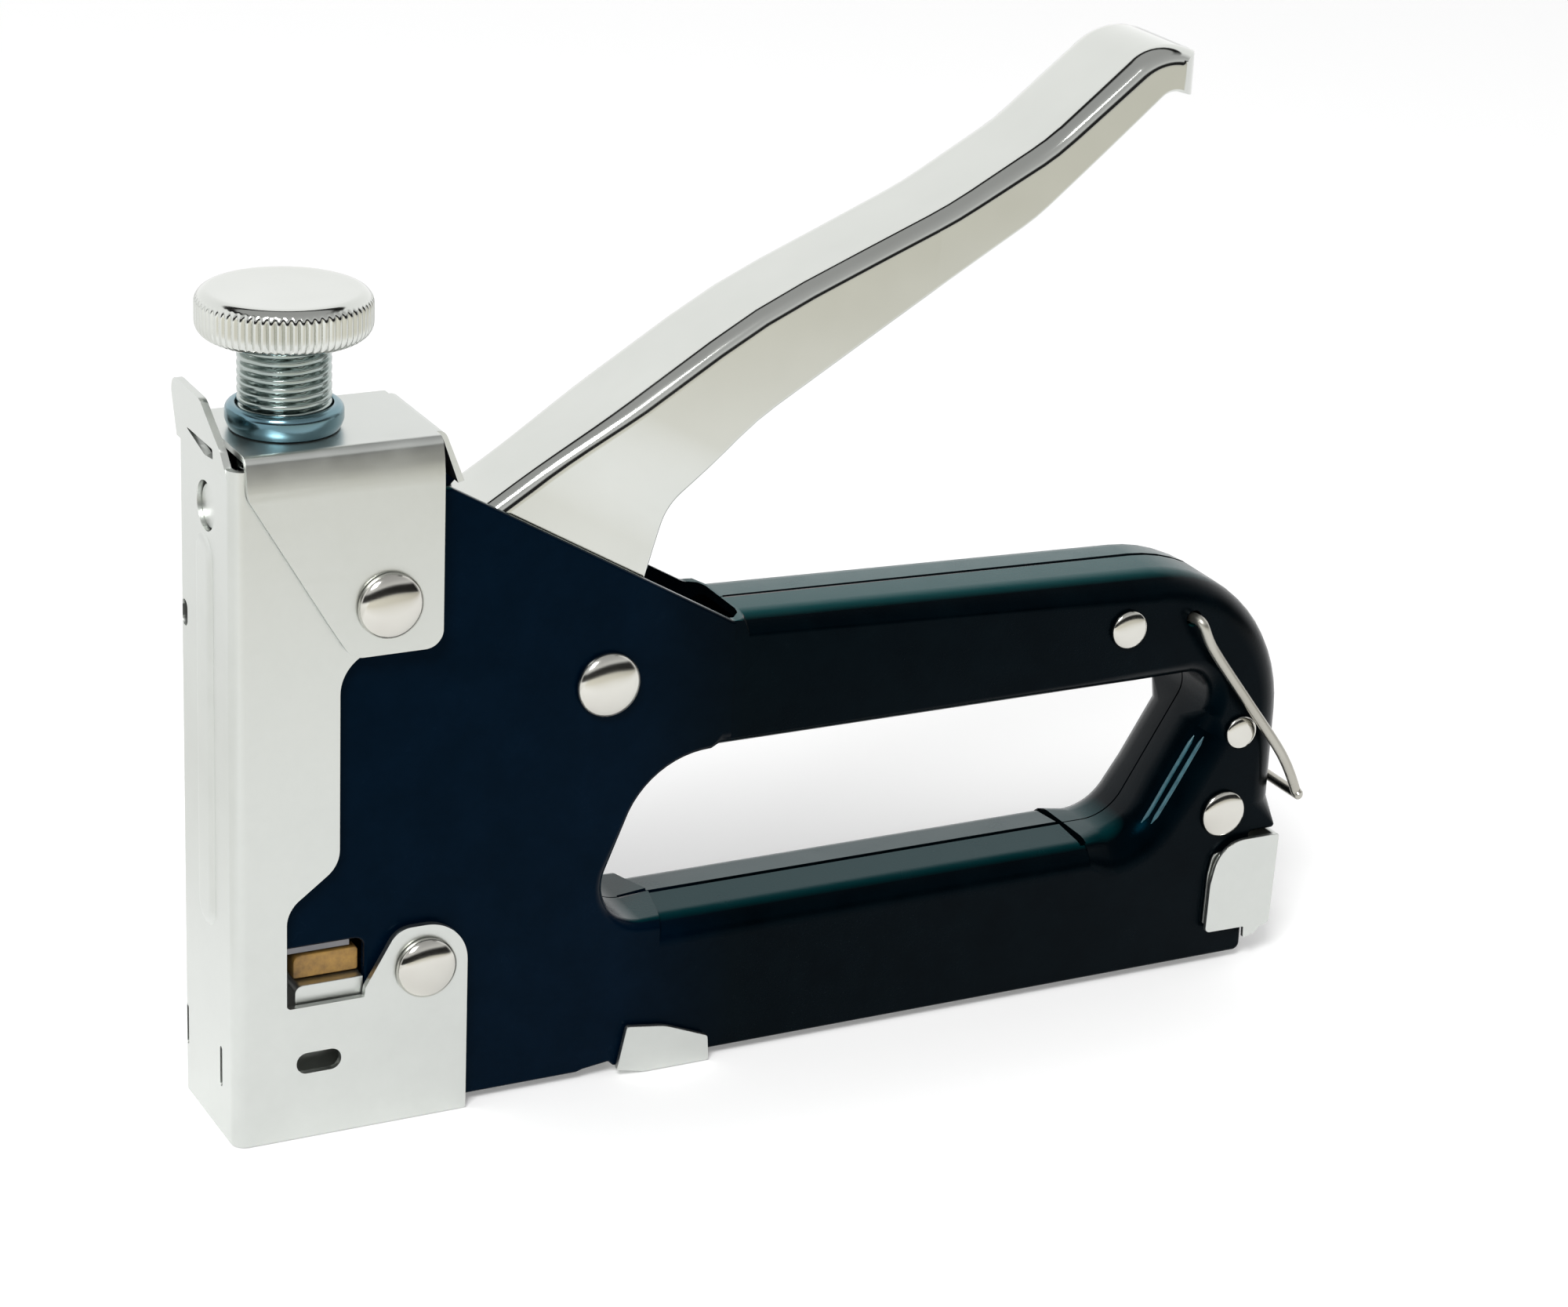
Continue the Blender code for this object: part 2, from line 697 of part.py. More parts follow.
def make_lever(look):
    lever = plate("lifting_lever", LEVER_OUTLINE, -LEVER_HALF, LEVER_HALF, look)
    drill([lever], "lever_pivot_cut", PIVOT_RIVET[0], PIVOT_RIVET[1], PIVOT_RIVET[3] + HOLE_CLEARANCE)
    drill([lever], "lever_pin_cut", LEVER_PIN[0], LEVER_PIN[1], LEVER_PIN_RADIUS + 0.2)
    return lever


def make_return_spring(look):
    """A torsion spring on the pivot: one leg up inside the handle, one leg forward and down."""
    x, z = PIVOT_RIVET[:2]
    radius = 4.4
    turns = 2
    per_turn = 12
    coil = []
    for step in range(turns * per_turn + 1):
        angle = math.radians(40.0) + 2.0 * math.pi * step / per_turn
        y = -3.75 - 1.9 * step / (turns * per_turn)
        coil.append((x + radius * math.cos(angle), y, z + radius * math.sin(angle)))
    first = coil[0]
    last = coil[-1]
    leg_down = (first[0] + 6.0, first[1], first[2] - 7.0)
    leg_up = (last[0] - 7.0, last[1], last[2] + 8.5)
    return tube("handle_return_spring", [leg_down, *coil, leg_up], 0.4, look, sides=6)


def make_striker(look):
    """The hammer: a foot block, a front plate, two side plates and the catch bar between them."""
    plan = [
        (3.0, -7.6, 0.4),
        (22.4, -7.6, 0.4),
        (22.4, 7.6, 0.4),
        (3.0, 7.6, 0.4),
    ]
    striker = upright("striker", plan, STRIKER_FOOT, CATCH_TOP, look)
    well = [(4.6, -6.1, 0.6), (17.2, -6.1, 0.6), (17.2, 6.1, 0.6), (4.6, 6.1, 0.6)]
    cut(striker, upright("striker_well_cut", well, STRIKER_FLOOR, 60.0))
    cut(striker, box("striker_catch_cut", (14.0, -5.9, STRIKER_FLOOR + 4.0), (25.0, 5.9, CATCH_FOOT)))
    cut(striker, box("striker_foot_cut", (18.0, -9.0, 20.0), (25.0, 9.0, STRIKER_FLOOR + 4.2)))
    return striker


def make_bail(look):
    """The bent wire that swings up over the squeezed handle to hold it down."""
    half = BAIL_HALF
    near = [(x, -half, z) for x, z in BAIL_ARM]
    far = [(x, half, z) for x, z in reversed(BAIL_ARM)]
    cross_x, cross_z = 172.7, 27.6
    cross = [(cross_x, -half + 1.6, cross_z), (cross_x, half - 1.6, cross_z)]
    start = (BAIL_PIVOT[0], -SHELL_HALF + 1.0, BAIL_PIVOT[1])
    end = (BAIL_PIVOT[0], SHELL_HALF - 1.0, BAIL_PIVOT[1])
    path = smooth_path([start, *near, *cross, *far, end], per_span=2)
    return tube("wire_bail", path, BAIL_RADIUS, look, sides=7)


def channel(name, half, wall, foot, top, front, back, look):
    """A long sheet channel open downward."""
    outline = [
        (-half, foot, 0.0),
        (-half, top, 1.2),
        (half, top, 1.2),
        (half, foot, 0.0),
        (half - wall, foot, 0.0),
        (half - wall, top - wall, 0.4),
        (-half + wall, top - wall, 0.4),
        (-half + wall, foot, 0.0),
    ]
    return across(name, outline, front, back, look)


def make_clip(look):
    """The foot under the body: two flared sides and the flat web that the tool stands on."""
    clip = plate("foot_clip", CLIP_SIDE, -10.6, 10.6, look)
    cut(clip, box("clip_inner_cut", (50.0, -9.75, 0.9), (80.0, 9.75, 20.0)))
    return clip


def make_latch(look):
    """The finger grip at the back of the magazine, folded round the body's end."""
    latch = plate("rear_latch", LATCH_SIDE, -10.9, 10.9, look)
    cut(latch, box("latch_inner_cut", (150.0, -10.2, 0.0), (169.6, 10.2, 30.0)))
    return latch


def make_catch(look):
    """The thin spring plate under the latch that snaps on to the body."""
    catch = plate("latch_catch", CATCH_SIDE, -9.95, 9.95, look)
    cut(catch, box("catch_inner_cut", (150.0, -9.6, 0.0), (166.7, 9.6, 30.0)))
    return catch


def make_bushing(look):
    bore = SCREW_RADIUS + 0.25
    low = CAP_TOP + 0.2
    profile = [
        (bore, low),
        (BUSHING_RADIUS, low),
        (BUSHING_RADIUS, BUSHING_TOP - 0.8),
        (BUSHING_RADIUS - 0.8, BUSHING_TOP),
        (bore, BUSHING_TOP),
    ]
    return turned("tension_bushing", profile, (SLIDE_X, 0.0, 0.0), "z", look, sides=28, closed=True)


def make_knob(look):
    profile = [(0.0, KNOB_FOOT), (9.6, KNOB_FOOT)]
    low_round = 1.6
    top_round = 2.6
    for step in range(4):
        angle = math.pi / 2.0 * step / 3
        profile.append((
            KNOB_RADIUS - low_round * (1.0 - math.sin(angle)),
            KNOB_FOOT + low_round * (1.0 - math.cos(angle)),
        ))
    for step in range(5):
        angle = math.pi / 2.0 * step / 4
        profile.append((
            KNOB_RADIUS - top_round * (1.0 - math.cos(angle)),
            KNOB_TOP - top_round * (1.0 - math.sin(angle)),
        ))
    profile.append((0.0, KNOB_TOP))
    return turned("tension_knob", profile, (SLIDE_X, 0.0, 0.0), "z", look, sides=30)


def make_screw(look):
    top = KNOB_FOOT - GAP
    profile = [
        (0.0, SCREW_FOOT),
        (SCREW_RADIUS - 0.8, SCREW_FOOT),
        (SCREW_RADIUS, SCREW_FOOT + 0.8),
        (SCREW_RADIUS, top),
        (0.0, top),
    ]
    return turned("tension_screw", profile, (SLIDE_X, 0.0, 0.0), "z", look, sides=28)


def make_seat(look):
    low = SEAT_TOP - SEAT_THICK
    pilot = SPRING_RADIUS - SPRING_WIRE - 0.4
    profile = [(0.0, low - 2.5), (pilot, low - 2.5), (pilot, low), (6.2, low), (6.2, SEAT_TOP), (0.0, SEAT_TOP)]
    return turned("spring_seat", profile, (SLIDE_X, 0.0, 0.0), "z", look)


def make_power_spring(look):
    low = STRIKER_FLOOR + GAP + SPRING_WIRE
    high = SEAT_TOP - SEAT_THICK - GAP - SPRING_WIRE
    path = helix((SLIDE_X, 0.0), SPRING_RADIUS, low, high, SPRING_TURNS, 9)
    return tube("power_spring", path, SPRING_WIRE, look, sides=5)


def make_pusher(look):
    """The saddle that rides on the rail and pushes the staples to the nose."""
    half = 5.9
    outline = [
        (-half, 2.0, 0.0),
        (-half, 16.0, 0.6),
        (half, 16.0, 0.6),
        (half, 2.0, 0.0),
        (RAIL_HALF + 0.2, 2.0, 0.0),
        (RAIL_HALF + 0.2, RAIL_TOP + 0.3, 0.0),
        (-RAIL_HALF - 0.2, RAIL_TOP + 0.3, 0.0),
        (-RAIL_HALF - 0.2, 2.0, 0.0),
    ]
    return across("staple_pusher", outline, 3.6, 16.0, look)


def build():
    for leftover in list(bpy.data.objects):
        bpy.data.objects.remove(leftover)

    navy = material("navy_paint", (0.004, 0.012, 0.035), 0.3, 0.0)
    zinc = material("zinc_sheet", (0.72, 0.72, 0.69), 0.35, 1.0)
    chrome = material("chrome_plate", (0.8, 0.8, 0.79), 0.12, 1.0)
    blue_zinc = material("blue_zinc", (0.55, 0.62, 0.66), 0.22, 1.0)
    nickel = material("nickel_rivet", (0.7, 0.68, 0.64), 0.2, 1.0)
    steel = material("dark_steel", (0.22, 0.22, 0.23), 0.4, 1.0)
    spring_steel = material("spring_steel", (0.35, 0.35, 0.36), 0.3, 1.0)
    amber = material("amber_polyurethane", (0.62, 0.3, 0.06), 0.45, 0.0)

    make_shell("right_shell", -1, navy)
    make_shell("left_shell", 1, navy)
    make_nose(zinc)
    make_cap(zinc)
    make_rivet("cap_rivet", CAP_RIVET, CAP_HALF, nickel)
    make_rivet("handle_pivot_rivet", PIVOT_RIVET, SHELL_HALF, nickel)
    make_rivet("nose_rivet", NOSE_RIVET, NOSE_HALF, nickel)
    make_rivet("bar_rivet", BAR_RIVET, SHELL_HALF, nickel, sides=12)
    make_rivet("rear_rivet_upper", REAR_RIVET_UPPER, SHELL_HALF, nickel, sides=12)
    make_rivet("rear_rivet_lower", REAR_RIVET_LOWER, SHELL_HALF, nickel, sides=12)

    make_bushing(blue_zinc)
    knob = make_knob(chrome)
    screw = make_screw(blue_zinc)
    for piece in (knob, screw):
        set_origin(piece, SLIDE_X, KNOB_FOOT)
    make_seat(steel)
    make_power_spring(spring_steel)

    make_striker(steel)
    box("driver_blade", (BLADE_FRONT, -5.6, 0.4), (BLADE_BACK, 5.6, 40.0), spring_steel)
    bumper = [(9.6, 23.2, 0.4), (9.6, 26.7, 1.2), (19.2, 26.7, 0.6), (19.2, 23.2, 0.4)]
    plate("bumper", bumper, -8.0, 8.0, amber)
    seat = [(9.3, 17.9, 0.2), (9.3, 22.9, 1.2), (19.4, 22.9, 0.4), (19.4, 17.9, 0.2)]
    plate("bumper_seat", seat, -9.6, 9.6, zinc)

    handle = make_handle(chrome)
    lever = make_lever(steel)
    pin_profile = [(0.0, -6.0), (LEVER_PIN_RADIUS, -6.0), (LEVER_PIN_RADIUS, 6.0), (0.0, 6.0)]
    pin = turned("lever_pin", pin_profile, (LEVER_PIN[0], 0.0, LEVER_PIN[1]), "y", steel, sides=16)
    spring = make_return_spring(spring_steel)
    for piece in (handle, lever, pin, spring):
        set_origin(piece, *PIVOT_RIVET[:2])

    bail = make_bail(nickel)
    set_origin(bail, *BAIL_PIVOT)

    channel("magazine_channel", CHANNEL_HALF, CHANNEL_WALL, CHANNEL_FOOT, CHANNEL_TOP, 3.0, 163.0, zinc)
    channel("pusher_rail", RAIL_HALF, RAIL_WALL, RAIL_FOOT, RAIL_TOP, 3.2, 166.4, zinc)
    rod = [(20.0, 0.0, 8.0), (160.0, 0.0, 8.0)]
    tube("pusher_spring", rod, 2.6, spring_steel, sides=10)
    make_pusher(steel)
    make_latch(zinc)
    make_catch(zinc)
    make_clip(zinc)


build()
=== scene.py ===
"""The looks of a hand staple gun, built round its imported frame.
"""
import math

import bmesh
import bpy
from mathutils import Matrix, Vector


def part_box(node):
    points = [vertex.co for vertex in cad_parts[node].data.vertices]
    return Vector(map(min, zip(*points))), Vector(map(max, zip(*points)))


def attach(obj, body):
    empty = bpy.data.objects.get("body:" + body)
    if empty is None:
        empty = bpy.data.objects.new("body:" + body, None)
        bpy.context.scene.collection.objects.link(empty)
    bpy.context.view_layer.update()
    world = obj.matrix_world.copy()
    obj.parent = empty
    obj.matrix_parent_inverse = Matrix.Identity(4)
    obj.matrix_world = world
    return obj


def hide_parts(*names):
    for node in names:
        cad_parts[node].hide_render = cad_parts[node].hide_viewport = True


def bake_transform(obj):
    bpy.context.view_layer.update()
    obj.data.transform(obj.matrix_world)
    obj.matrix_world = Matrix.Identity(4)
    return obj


MM = 0.001
FINE = 6.0  # degrees between the points of a rounded corner

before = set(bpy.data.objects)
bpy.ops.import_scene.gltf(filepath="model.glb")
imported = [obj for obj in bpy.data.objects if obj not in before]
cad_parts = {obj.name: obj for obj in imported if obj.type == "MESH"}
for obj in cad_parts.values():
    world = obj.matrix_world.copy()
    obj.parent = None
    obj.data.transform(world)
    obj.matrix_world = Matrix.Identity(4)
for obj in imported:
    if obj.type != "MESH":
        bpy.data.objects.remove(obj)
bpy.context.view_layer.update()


def box_mm(node):
    low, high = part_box(node)
    return [value / MM for value in low], [value / MM for value in high]


# The magazine channel starts 3 mm behind the nose's front face, which gives the drawing's origin.
NOSE_FRONT = box_mm("magazine_channel")[0][0] - 3.0

SHELL_HALF = box_mm("left_shell")[1][1]
SHELL_WALL = 1.3
SEAM = box_mm("left_shell")[0][1]
NOSE_HALF = box_mm("nose_channel")[1][1]
NOSE_WALL = 1.0
NOSE_TOP = 99.4
NOSE_BEND = 2.0
NOSE_BACK = box_mm("nose_channel")[1][0] - NOSE_FRONT
CAP_HALF = 12.1
CAP_WALL = 0.9
CAP_TOP = 101.4
HANDLE_HALF = 7.5
HANDLE_WALL = 1.2
KNOB_LOW, KNOB_HIGH = box_mm("tension_knob")
SLIDE_X = (KNOB_LOW[0] + KNOB_HIGH[0]) / 2.0 - NOSE_FRONT
KNOB_RADIUS = (KNOB_HIGH[0] - KNOB_LOW[0]) / 2.0
KNOB_FOOT = KNOB_LOW[2]
KNOB_TOP = KNOB_HIGH[2]
SCREW_RADIUS = 6.35
THREAD_PITCH = 1.2
BUSHING_RADIUS = 8.0
GAP = 0.3
HOLE_CLEARANCE = 0.25

# Painted sheen: the paler teal put into the enamel's colour where it faces up, one tone on the lower bar and
# one on the upper
PAINTED_SHEEN_LOW = (0.001, 0.030, 0.034)
PAINTED_SHEEN_HIGH = (0.004, 0.058, 0.062)

# Rivets: x, z, head radius, shank radius, head height, half width of what is riveted
RIVETS = {
    "cap_rivet": (21.9, 78.8, 4.7, 2.4, 2.1, CAP_HALF),
    "handle_pivot_rivet": (55.7, 61.6, 4.8, 3.0, 2.1, SHELL_HALF),
    "nose_rivet": (28.1, 23.4, 4.5, 2.4, 2.1, NOSE_HALF),
    "bar_rivet": (141.0, 58.4, 2.95, 1.6, 1.1, SHELL_HALF),
    "rear_rivet_upper": (162.6, 38.7, 2.6, 1.5, 0.9, SHELL_HALF),
    "rear_rivet_lower": (160.6, 25.4, 3.7, 1.8, 1.2, SHELL_HALF),
}

# Outlines: corners (x, z, corner radius, edge rounding)
CHEEK_END = 75.4
BAR_EDGE = 4.6
SHELL_OUTLINE = [
    (4.0, 28.6, 0.8, 0.4),
    (4.0, 93.2, 1.0, 0.4),
    (32.0, 93.2, 0.8, 0.4),
    (CHEEK_END, 68.2, 1.5, 0.5),
    (77.0, 68.4, 0.0, 1.2),
    (78.0, 68.4, 0.0, BAR_EDGE),
    (170.7, 65.2, 25.5, BAR_EDGE),
    (170.7, 26.0, 0.0, BAR_EDGE),
    (170.7, 21.3, 0.6, 0.5),
    (166.1, 21.3, 0.4, 0.4),
    (166.1, 1.2, 1.2, 0.4),
    (58.4, 1.2, 0.4, 0.3),
    (57.6, 2.0, 0.4, 0.3),
    (53.5, 1.5, 0.4, 0.3),
    (52.5, 1.2, 0.4, 0.3),
    (19.6, 1.2, 0.6, 0.3),
    (19.6, 28.6, 1.5, 0.4),
]
HAND_OPENING = [
    (62.7, 49.0, 14.0, 0.8),
    (53.4, 23.5, 6.5, 1.6),
    (68.0, 23.5, 0.0, 2.0),
    (134.0, 23.5, 0.0, 2.4),
    (145.7, 23.5, 8.0, 6.0),
    (150.2, 31.0, 0.0, 6.5),
    (155.6, 40.0, 0.0, 6.5),
    (161.0, 49.0, 4.5, 2.6),
    (144.0, 49.0, 0.0, 2.4),
    (74.0, 49.0, 0.0, 2.4),
]
HOLLOW_OUTLINE = [
    (-2.0, -2.0, 0.0, 0.3),
    (-2.0, 110.0, 0.0, 0.3),
    (77.5, 110.0, 0.0, 0.3),
    (77.5, 67.0, 0.0, 3.3),
    (169.4, 63.9, 24.2, 3.3),
    (169.4, 24.0, 0.0, 1.0),
    (164.8, 24.0, 0.0, 0.3),
    (164.8, 18.2, 0.0, 0.3),
    (180.0, 18.2, 0.0, 0.3),
    (180.0, -2.0, 0.0, 0.3),
]
LOWER_BAR_TOP = (68.0, 137.6, 23.1, 4.0)  # x from, x to, z of the flat, edge radius
STEP_SLANT = 0.3  # how far the flat's front end runs forward for each mm from the seam
STEP_GROOVE = (136.9, 137.9, 22.0)  # x from, x to, z of the gap behind the flat
SEAM_RIDGE = 0.35  # how far each half's edge rounds down to the seam
SEAM_DROP = 0.7  # how much lower the seam lies than the ridges beside it
UPPER_CROWN = (79.0, 62.9, 0.3)  # x from, z from, lift
LOWER_CROWN = (64.0, 22.5, 24.0, 0.45)  # x from, z from, z to, lift
# Two fine raised lines follow the opening's rear end on the right half, each at one angle round the edge
BEAD_ANGLES = (38.0, 50.0)
BEAD_RADIUS = 0.32
BEAD_REACH = (24.8, 38.0)  # z from, z to
BEAD_STEPS = 12
NOSE_SIDE_CUT = [
    (34.5, -5.0, 0.0),
    (34.5, 29.7, 6.3),
    (24.0, 29.7, 3.6),
    (19.2, 21.6, 0.8),
    (19.0, 20.2, 0.0),
    (7.6, 20.2, 0.6),
    (7.6, 35.2, 4.5),
    (15.3, 41.0, 4.5),
    (15.3, 71.8, 6.0),
    (28.6, 72.6, 1.0),
    (28.6, 110.0, 0.0),
    (60.0, 110.0, 0.0),
    (60.0, -5.0, 0.0),
]
NOSE_TAB = [
    (10.9, 98.0, 0.0),
    (11.0, 107.2, 3.6),
    (-1.6, 107.0, 2.0),
    (-7.4, 101.6, 3.0),
    (-9.5, 98.0, 0.0),
]
FRONT_SLITS = [
    (8.3, 71.4, 75.2, 1.1),
    (9.0, 7.2, 13.4, 0.45),
    (-5.2, 7.2, 13.4, 0.45),
]
# The sliver of a slot across the tab's foot: corners (y, z, radius)
TAB_SLOT = [(6.3, 100.8, 0.1), (-4.4, 100.8, 0.2), (-4.2, 99.3, 0.2), (-0.8, 98.9, 0.3), (1.6, 99.5, 0.4)]
ROUND_HOLE = (-0.7, 91.7, 3.5)
HOLE_PLUG = (-0.4, 91.5, 3.1)
FRONT_RIB = (-3.4, 3.2, 30.0, 87.5)  # y from, y to, z from, z to
CAP_FLAP = [
    (1.9, 96.0, 4.0),
    (13.6, 76.4, 3.5),
    (16.6, 71.6, 3.0),
    (29.8, 71.6, 2.6),
    (29.8, 110.0, 0.0),
    (1.9, 110.0, 0.0),
]
HANDLE_TOP = [
    (34.5, 86.6, 2.6, 2.4),
    (77.9, 113.4, 100.0, 2.4),
    (107.5, 125.7, 60.0, 2.4),
    (122.4, 133.9, 30.0, 2.5),
    (139.4, 147.4, 9.5, 2.6),
    (149.0, 144.5, 4.2, 2.6),
]
HANDLE_OUTLINE = [
    (49.0, 55.6, 6.0, 0.4),
    (44.0, 72.0, 4.0, 0.4),
    *HANDLE_TOP,
    (147.3, 138.5, 1.2, 1.0),
    (144.4, 139.4, 1.0, 0.6),
    (141.2, 140.4, 3.0, 0.5),
    (120.8, 123.2, 30.0, 0.5),
    (78.0, 97.6, 40.0, 0.5),
    (65.0, 86.3, 9.0, 0.5),
    (61.4, 74.0, 4.0, 0.4),
    (61.4, 55.6, 6.0, 0.4),
]
HANDLE_SPACE = [
    (32.0, 30.0, 0.0, 0.5),
    *HANDLE_TOP,
    (148.0, 110.0, 0.0, 0.5),
    (90.0, 30.0, 0.0, 0.5),
]
HANDLE_TIP = 148.0
HANDLE_TIP_ROUND = 7.4
# The handle widens smoothly from between the cheeks to the grip, and from the grip to the tip.  Each
# stretch runs between two heights above the cheek's slope
GRIP_HALF = 8.75
TIP_HALF = 9.6
CHEEK_TO_GRIP = (4.0, 21.0)
GRIP_TO_TIP = (48.0, 90.0)
WIDENING_STEPS = 6
CHEEK_SLOPE = (32.0, 93.2)
CHEEK_NORMAL = (0.499, 0.866)
CLIP_SIDE = [
    (58.4, 1.0, 0.3),
    (59.9, 7.8, 0.5),
    (66.0, 6.9, 8.0),
    (73.0, 4.0, 0.8),
    (73.3, 0.0, 0.3),
    (63.0, 0.0, 0.0),
]
LATCH_SIDE = [
    (158.5, 5.9, 0.8),
    (158.7, 14.0, 4.0),
    (160.2, 20.9, 5.4),
    (170.7, 20.9, 0.4),
    (170.2, 5.9, 0.8),
    (168.6, 5.4, 0.4),
    (167.6, 4.4, 0.3),
    (165.6, 3.9, 0.2),
    (165.5, 5.8, 0.1),
]
CATCH_SIDE = [
    (158.5, 7.0, 0.4),
    (158.7, 15.5, 1.5),
    (159.4, 18.9, 1.2),
    (167.4, 18.9, 0.2),
    (167.4, 7.0, 0.2),
]
SPRING_WIRE = 0.75
SPRING_TURNS = 11
SPRING_SPLIT = 0.73  # share of the power spring's length that shortens as the striker lifts
BAIL_PIVOT = (152.6, 58.5)
BAIL_RADIUS = 0.8
BAIL_HALF = 11.7
BAIL_KNEE = (155.0, 54.0)
BAIL_HEEL = (169.0, 35.0)
BAIL_FOOT = (172.2, 28.6)
BAIL_MIDDLE = ((BAIL_KNEE[0] + BAIL_HEEL[0]) / 2.0, (BAIL_KNEE[1] + BAIL_HEEL[1]) / 2.0)
BAIL_ARM = [BAIL_PIVOT, BAIL_KNEE, BAIL_MIDDLE, BAIL_HEEL, BAIL_FOOT]
BAIL_CROSS = (172.7, 27.6)
BAIL_CORNER = 1.6


# The camera: the way its right and its top point, its place in the drawing and its lens
CAMERA_RIGHT = (0.8937, -0.4467, 0.0423)
CAMERA_UP = (0.1273, 0.3428, 0.9307)
CAMERA_PLACE = (-169.15, -494.36, 275.48)
CAMERA_LENS = 94.3


# ------------------------ outlines

def rounded(corners, arc=FINE):
    """Corners (x, z, radius[, edge]) as points (x, z, edge), each corner turned into an arc."""
    points = []
    count = len(corners)
    for index, corner in enumerate(corners):
        here = Vector(corner[:2])
        edge = corner[3] if len(corner) > 3 else 0.0
        radius = corner[2]
        if radius == 0.0:
            points.append((here.x, here.y, edge))
            continue
        before = (Vector(corners[index - 1][:2]) - here).normalized()
        after = (Vector(corners[(index + 1) % count][:2]) - here).normalized()
        half = before.angle(after) / 2.0
        centre = here + (before + after).normalized() * radius / math.sin(half)
        start = here + before * radius / math.tan(half) - centre
        sweep = math.pi - 2.0 * half
        if before.x * after.y - before.y * after.x > 0.0:
            sweep = -sweep
        steps = max(2, math.ceil(abs(math.degrees(sweep)) / arc))
        for step in range(steps + 1):
            angle = sweep * step / steps
            turned_x = start.x * math.cos(angle) - start.y * math.sin(angle)
            turned_z = start.x * math.sin(angle) + start.y * math.cos(angle)
            points.append((centre.x + turned_x, centre.y + turned_z, edge))
    return points


def signed_area(points):
    total = 0.0
    for index, point in enumerate(points):
        last = points[index - 1]
        total += last[0] * point[1] - point[0] * last[1]
    return total / 2.0


def inset(points, depth_of):
    """Points moved into the outline, each by depth_of(edge)."""
    side = 1.0 if signed_area(points) > 0.0 else -1.0
    moved = []
    count = len(points)
    for index, point in enumerate(points):
        here = Vector(point[:2])
        before = (here - Vector(points[index - 1][:2])).normalized()
        after = (Vector(points[(index + 1) % count][:2]) - here).normalized()
        normal = Vector((-before.y - after.y, before.x + after.x)) * side
        scale = 1.0 + before.dot(after)
        shift = normal / max(scale, 0.4) * depth_of(point[2])
        moved.append((here.x + shift.x, here.y + shift.y))
    return moved


def grow(corners, amount):
    """The corners moved out from the outline, with the corner radii grown to match."""
    flat = [(x, z, 0.0) for x, z, r, e in corners]
    moved = inset(flat, lambda edge: -amount)
    grown = []
    for (x, z), corner in zip(moved, corners):
        radius = corner[2] + amount if corner[2] > 0.0 else 0.0
        grown.append((x, z, max(radius, 0.0), corner[3]))
    return grown


def thinned(corners, wall):
    """The corners with each edge radius reduced by the wall, for the inside of a rounded sheet."""
    return [(x, z, r, max(e - wall, 0.3)) for x, z, r, e in corners]


# ------------------------ solids

def finish(name, builder):
    """A new object from a bmesh in millimetres, moved to the frame's place and to metres."""
    bmesh.ops.remove_doubles(builder, verts=builder.verts, dist=0.002)
    bmesh.ops.recalc_face_normals(builder, faces=builder.faces)
    for vertex in builder.verts:
        vertex.co = Vector((vertex.co.x + NOSE_FRONT, vertex.co.y, vertex.co.z)) * MM
    mesh = bpy.data.meshes.new(name)
    builder.to_mesh(mesh)
    builder.free()
    made = bpy.data.objects.new(name, mesh)
    bpy.context.scene.collection.objects.link(made)
    return made


def skin(builder, rings):
    """Closed solid through rings of equal length, with a flat face at each end."""
    loops = [[builder.verts.new(point) for point in ring] for ring in rings]
    for first, second in zip(loops, loops[1:]):
        for index in range(len(first)):
            builder.faces.new((first[index - 1], first[index], second[index], second[index - 1]))
    builder.faces.new(loops[0])
    builder.faces.new(list(reversed(loops[-1])))


def slab(name, outline, low, high, soft_low=False, soft_high=True, flare=False, steps=6, arc=FINE):
    """An outline in x and z given depth along y, its edges rounded by each point's edge radius."""
    points = rounded(outline, arc)
    sign = -1.0 if flare else 1.0
    rings = []

    def ring(y_of, depth_of):
        flat = inset(points, depth_of)
        return [(flat[i][0], y_of(points[i][2]), flat[i][1]) for i in range(len(points))]

    angles = [math.pi / 2.0 * step / steps for step in range(steps + 1)]
    if soft_low:
        for angle in reversed(angles):
            rings.append(ring(
                lambda edge, a=angle: low + edge * (1.0 - math.sin(a)),
                lambda edge, a=angle: sign * edge * (1.0 - math.cos(a)),
            ))
    else:
        rings.append(ring(lambda edge: low, lambda edge: 0.0))
    if soft_high:
        for angle in angles:
            rings.append(ring(
                lambda edge, a=angle: high - edge * (1.0 - math.sin(a)),
                lambda edge, a=angle: sign * edge * (1.0 - math.cos(a)),
            ))
        if flare:
            rings.append(ring(lambda edge: high + 2.0, lambda edge: sign * edge))
    else:
        rings.append(ring(lambda edge: high, lambda edge: 0.0))
    builder = bmesh.new()
    skin(builder, rings)
    return finish(name, builder)


def plate(name, outline, low, high, arc=FINE):
    """An outline in x and z with square edges, from y low to y high."""
    return slab(name, outline, low, high, soft_high=False, arc=arc)


def upright(name, outline, low, high, arc=FINE):
    """An outline in x and y given height along z."""
    points = rounded(outline, arc)
    builder = bmesh.new()
    skin(builder, [[(x, y, z) for x, y, edge in points] for z in (low, high)])
    return finish(name, builder)


def across(name, outline, low, high, arc=FINE):
    """An outline in y and z given depth along x."""
    points = rounded(outline, arc)
    builder = bmesh.new()
    skin(builder, [[(x, y, z) for y, z, edge in points] for x in (low, high)])
    return finish(name, builder)


def block(name, low, high):
    outline = [(low[0], low[2], 0.0), (low[0], high[2], 0.0), (high[0], high[2], 0.0), (high[0], low[2], 0.0)]
    return plate(name, outline, low[1], high[1])


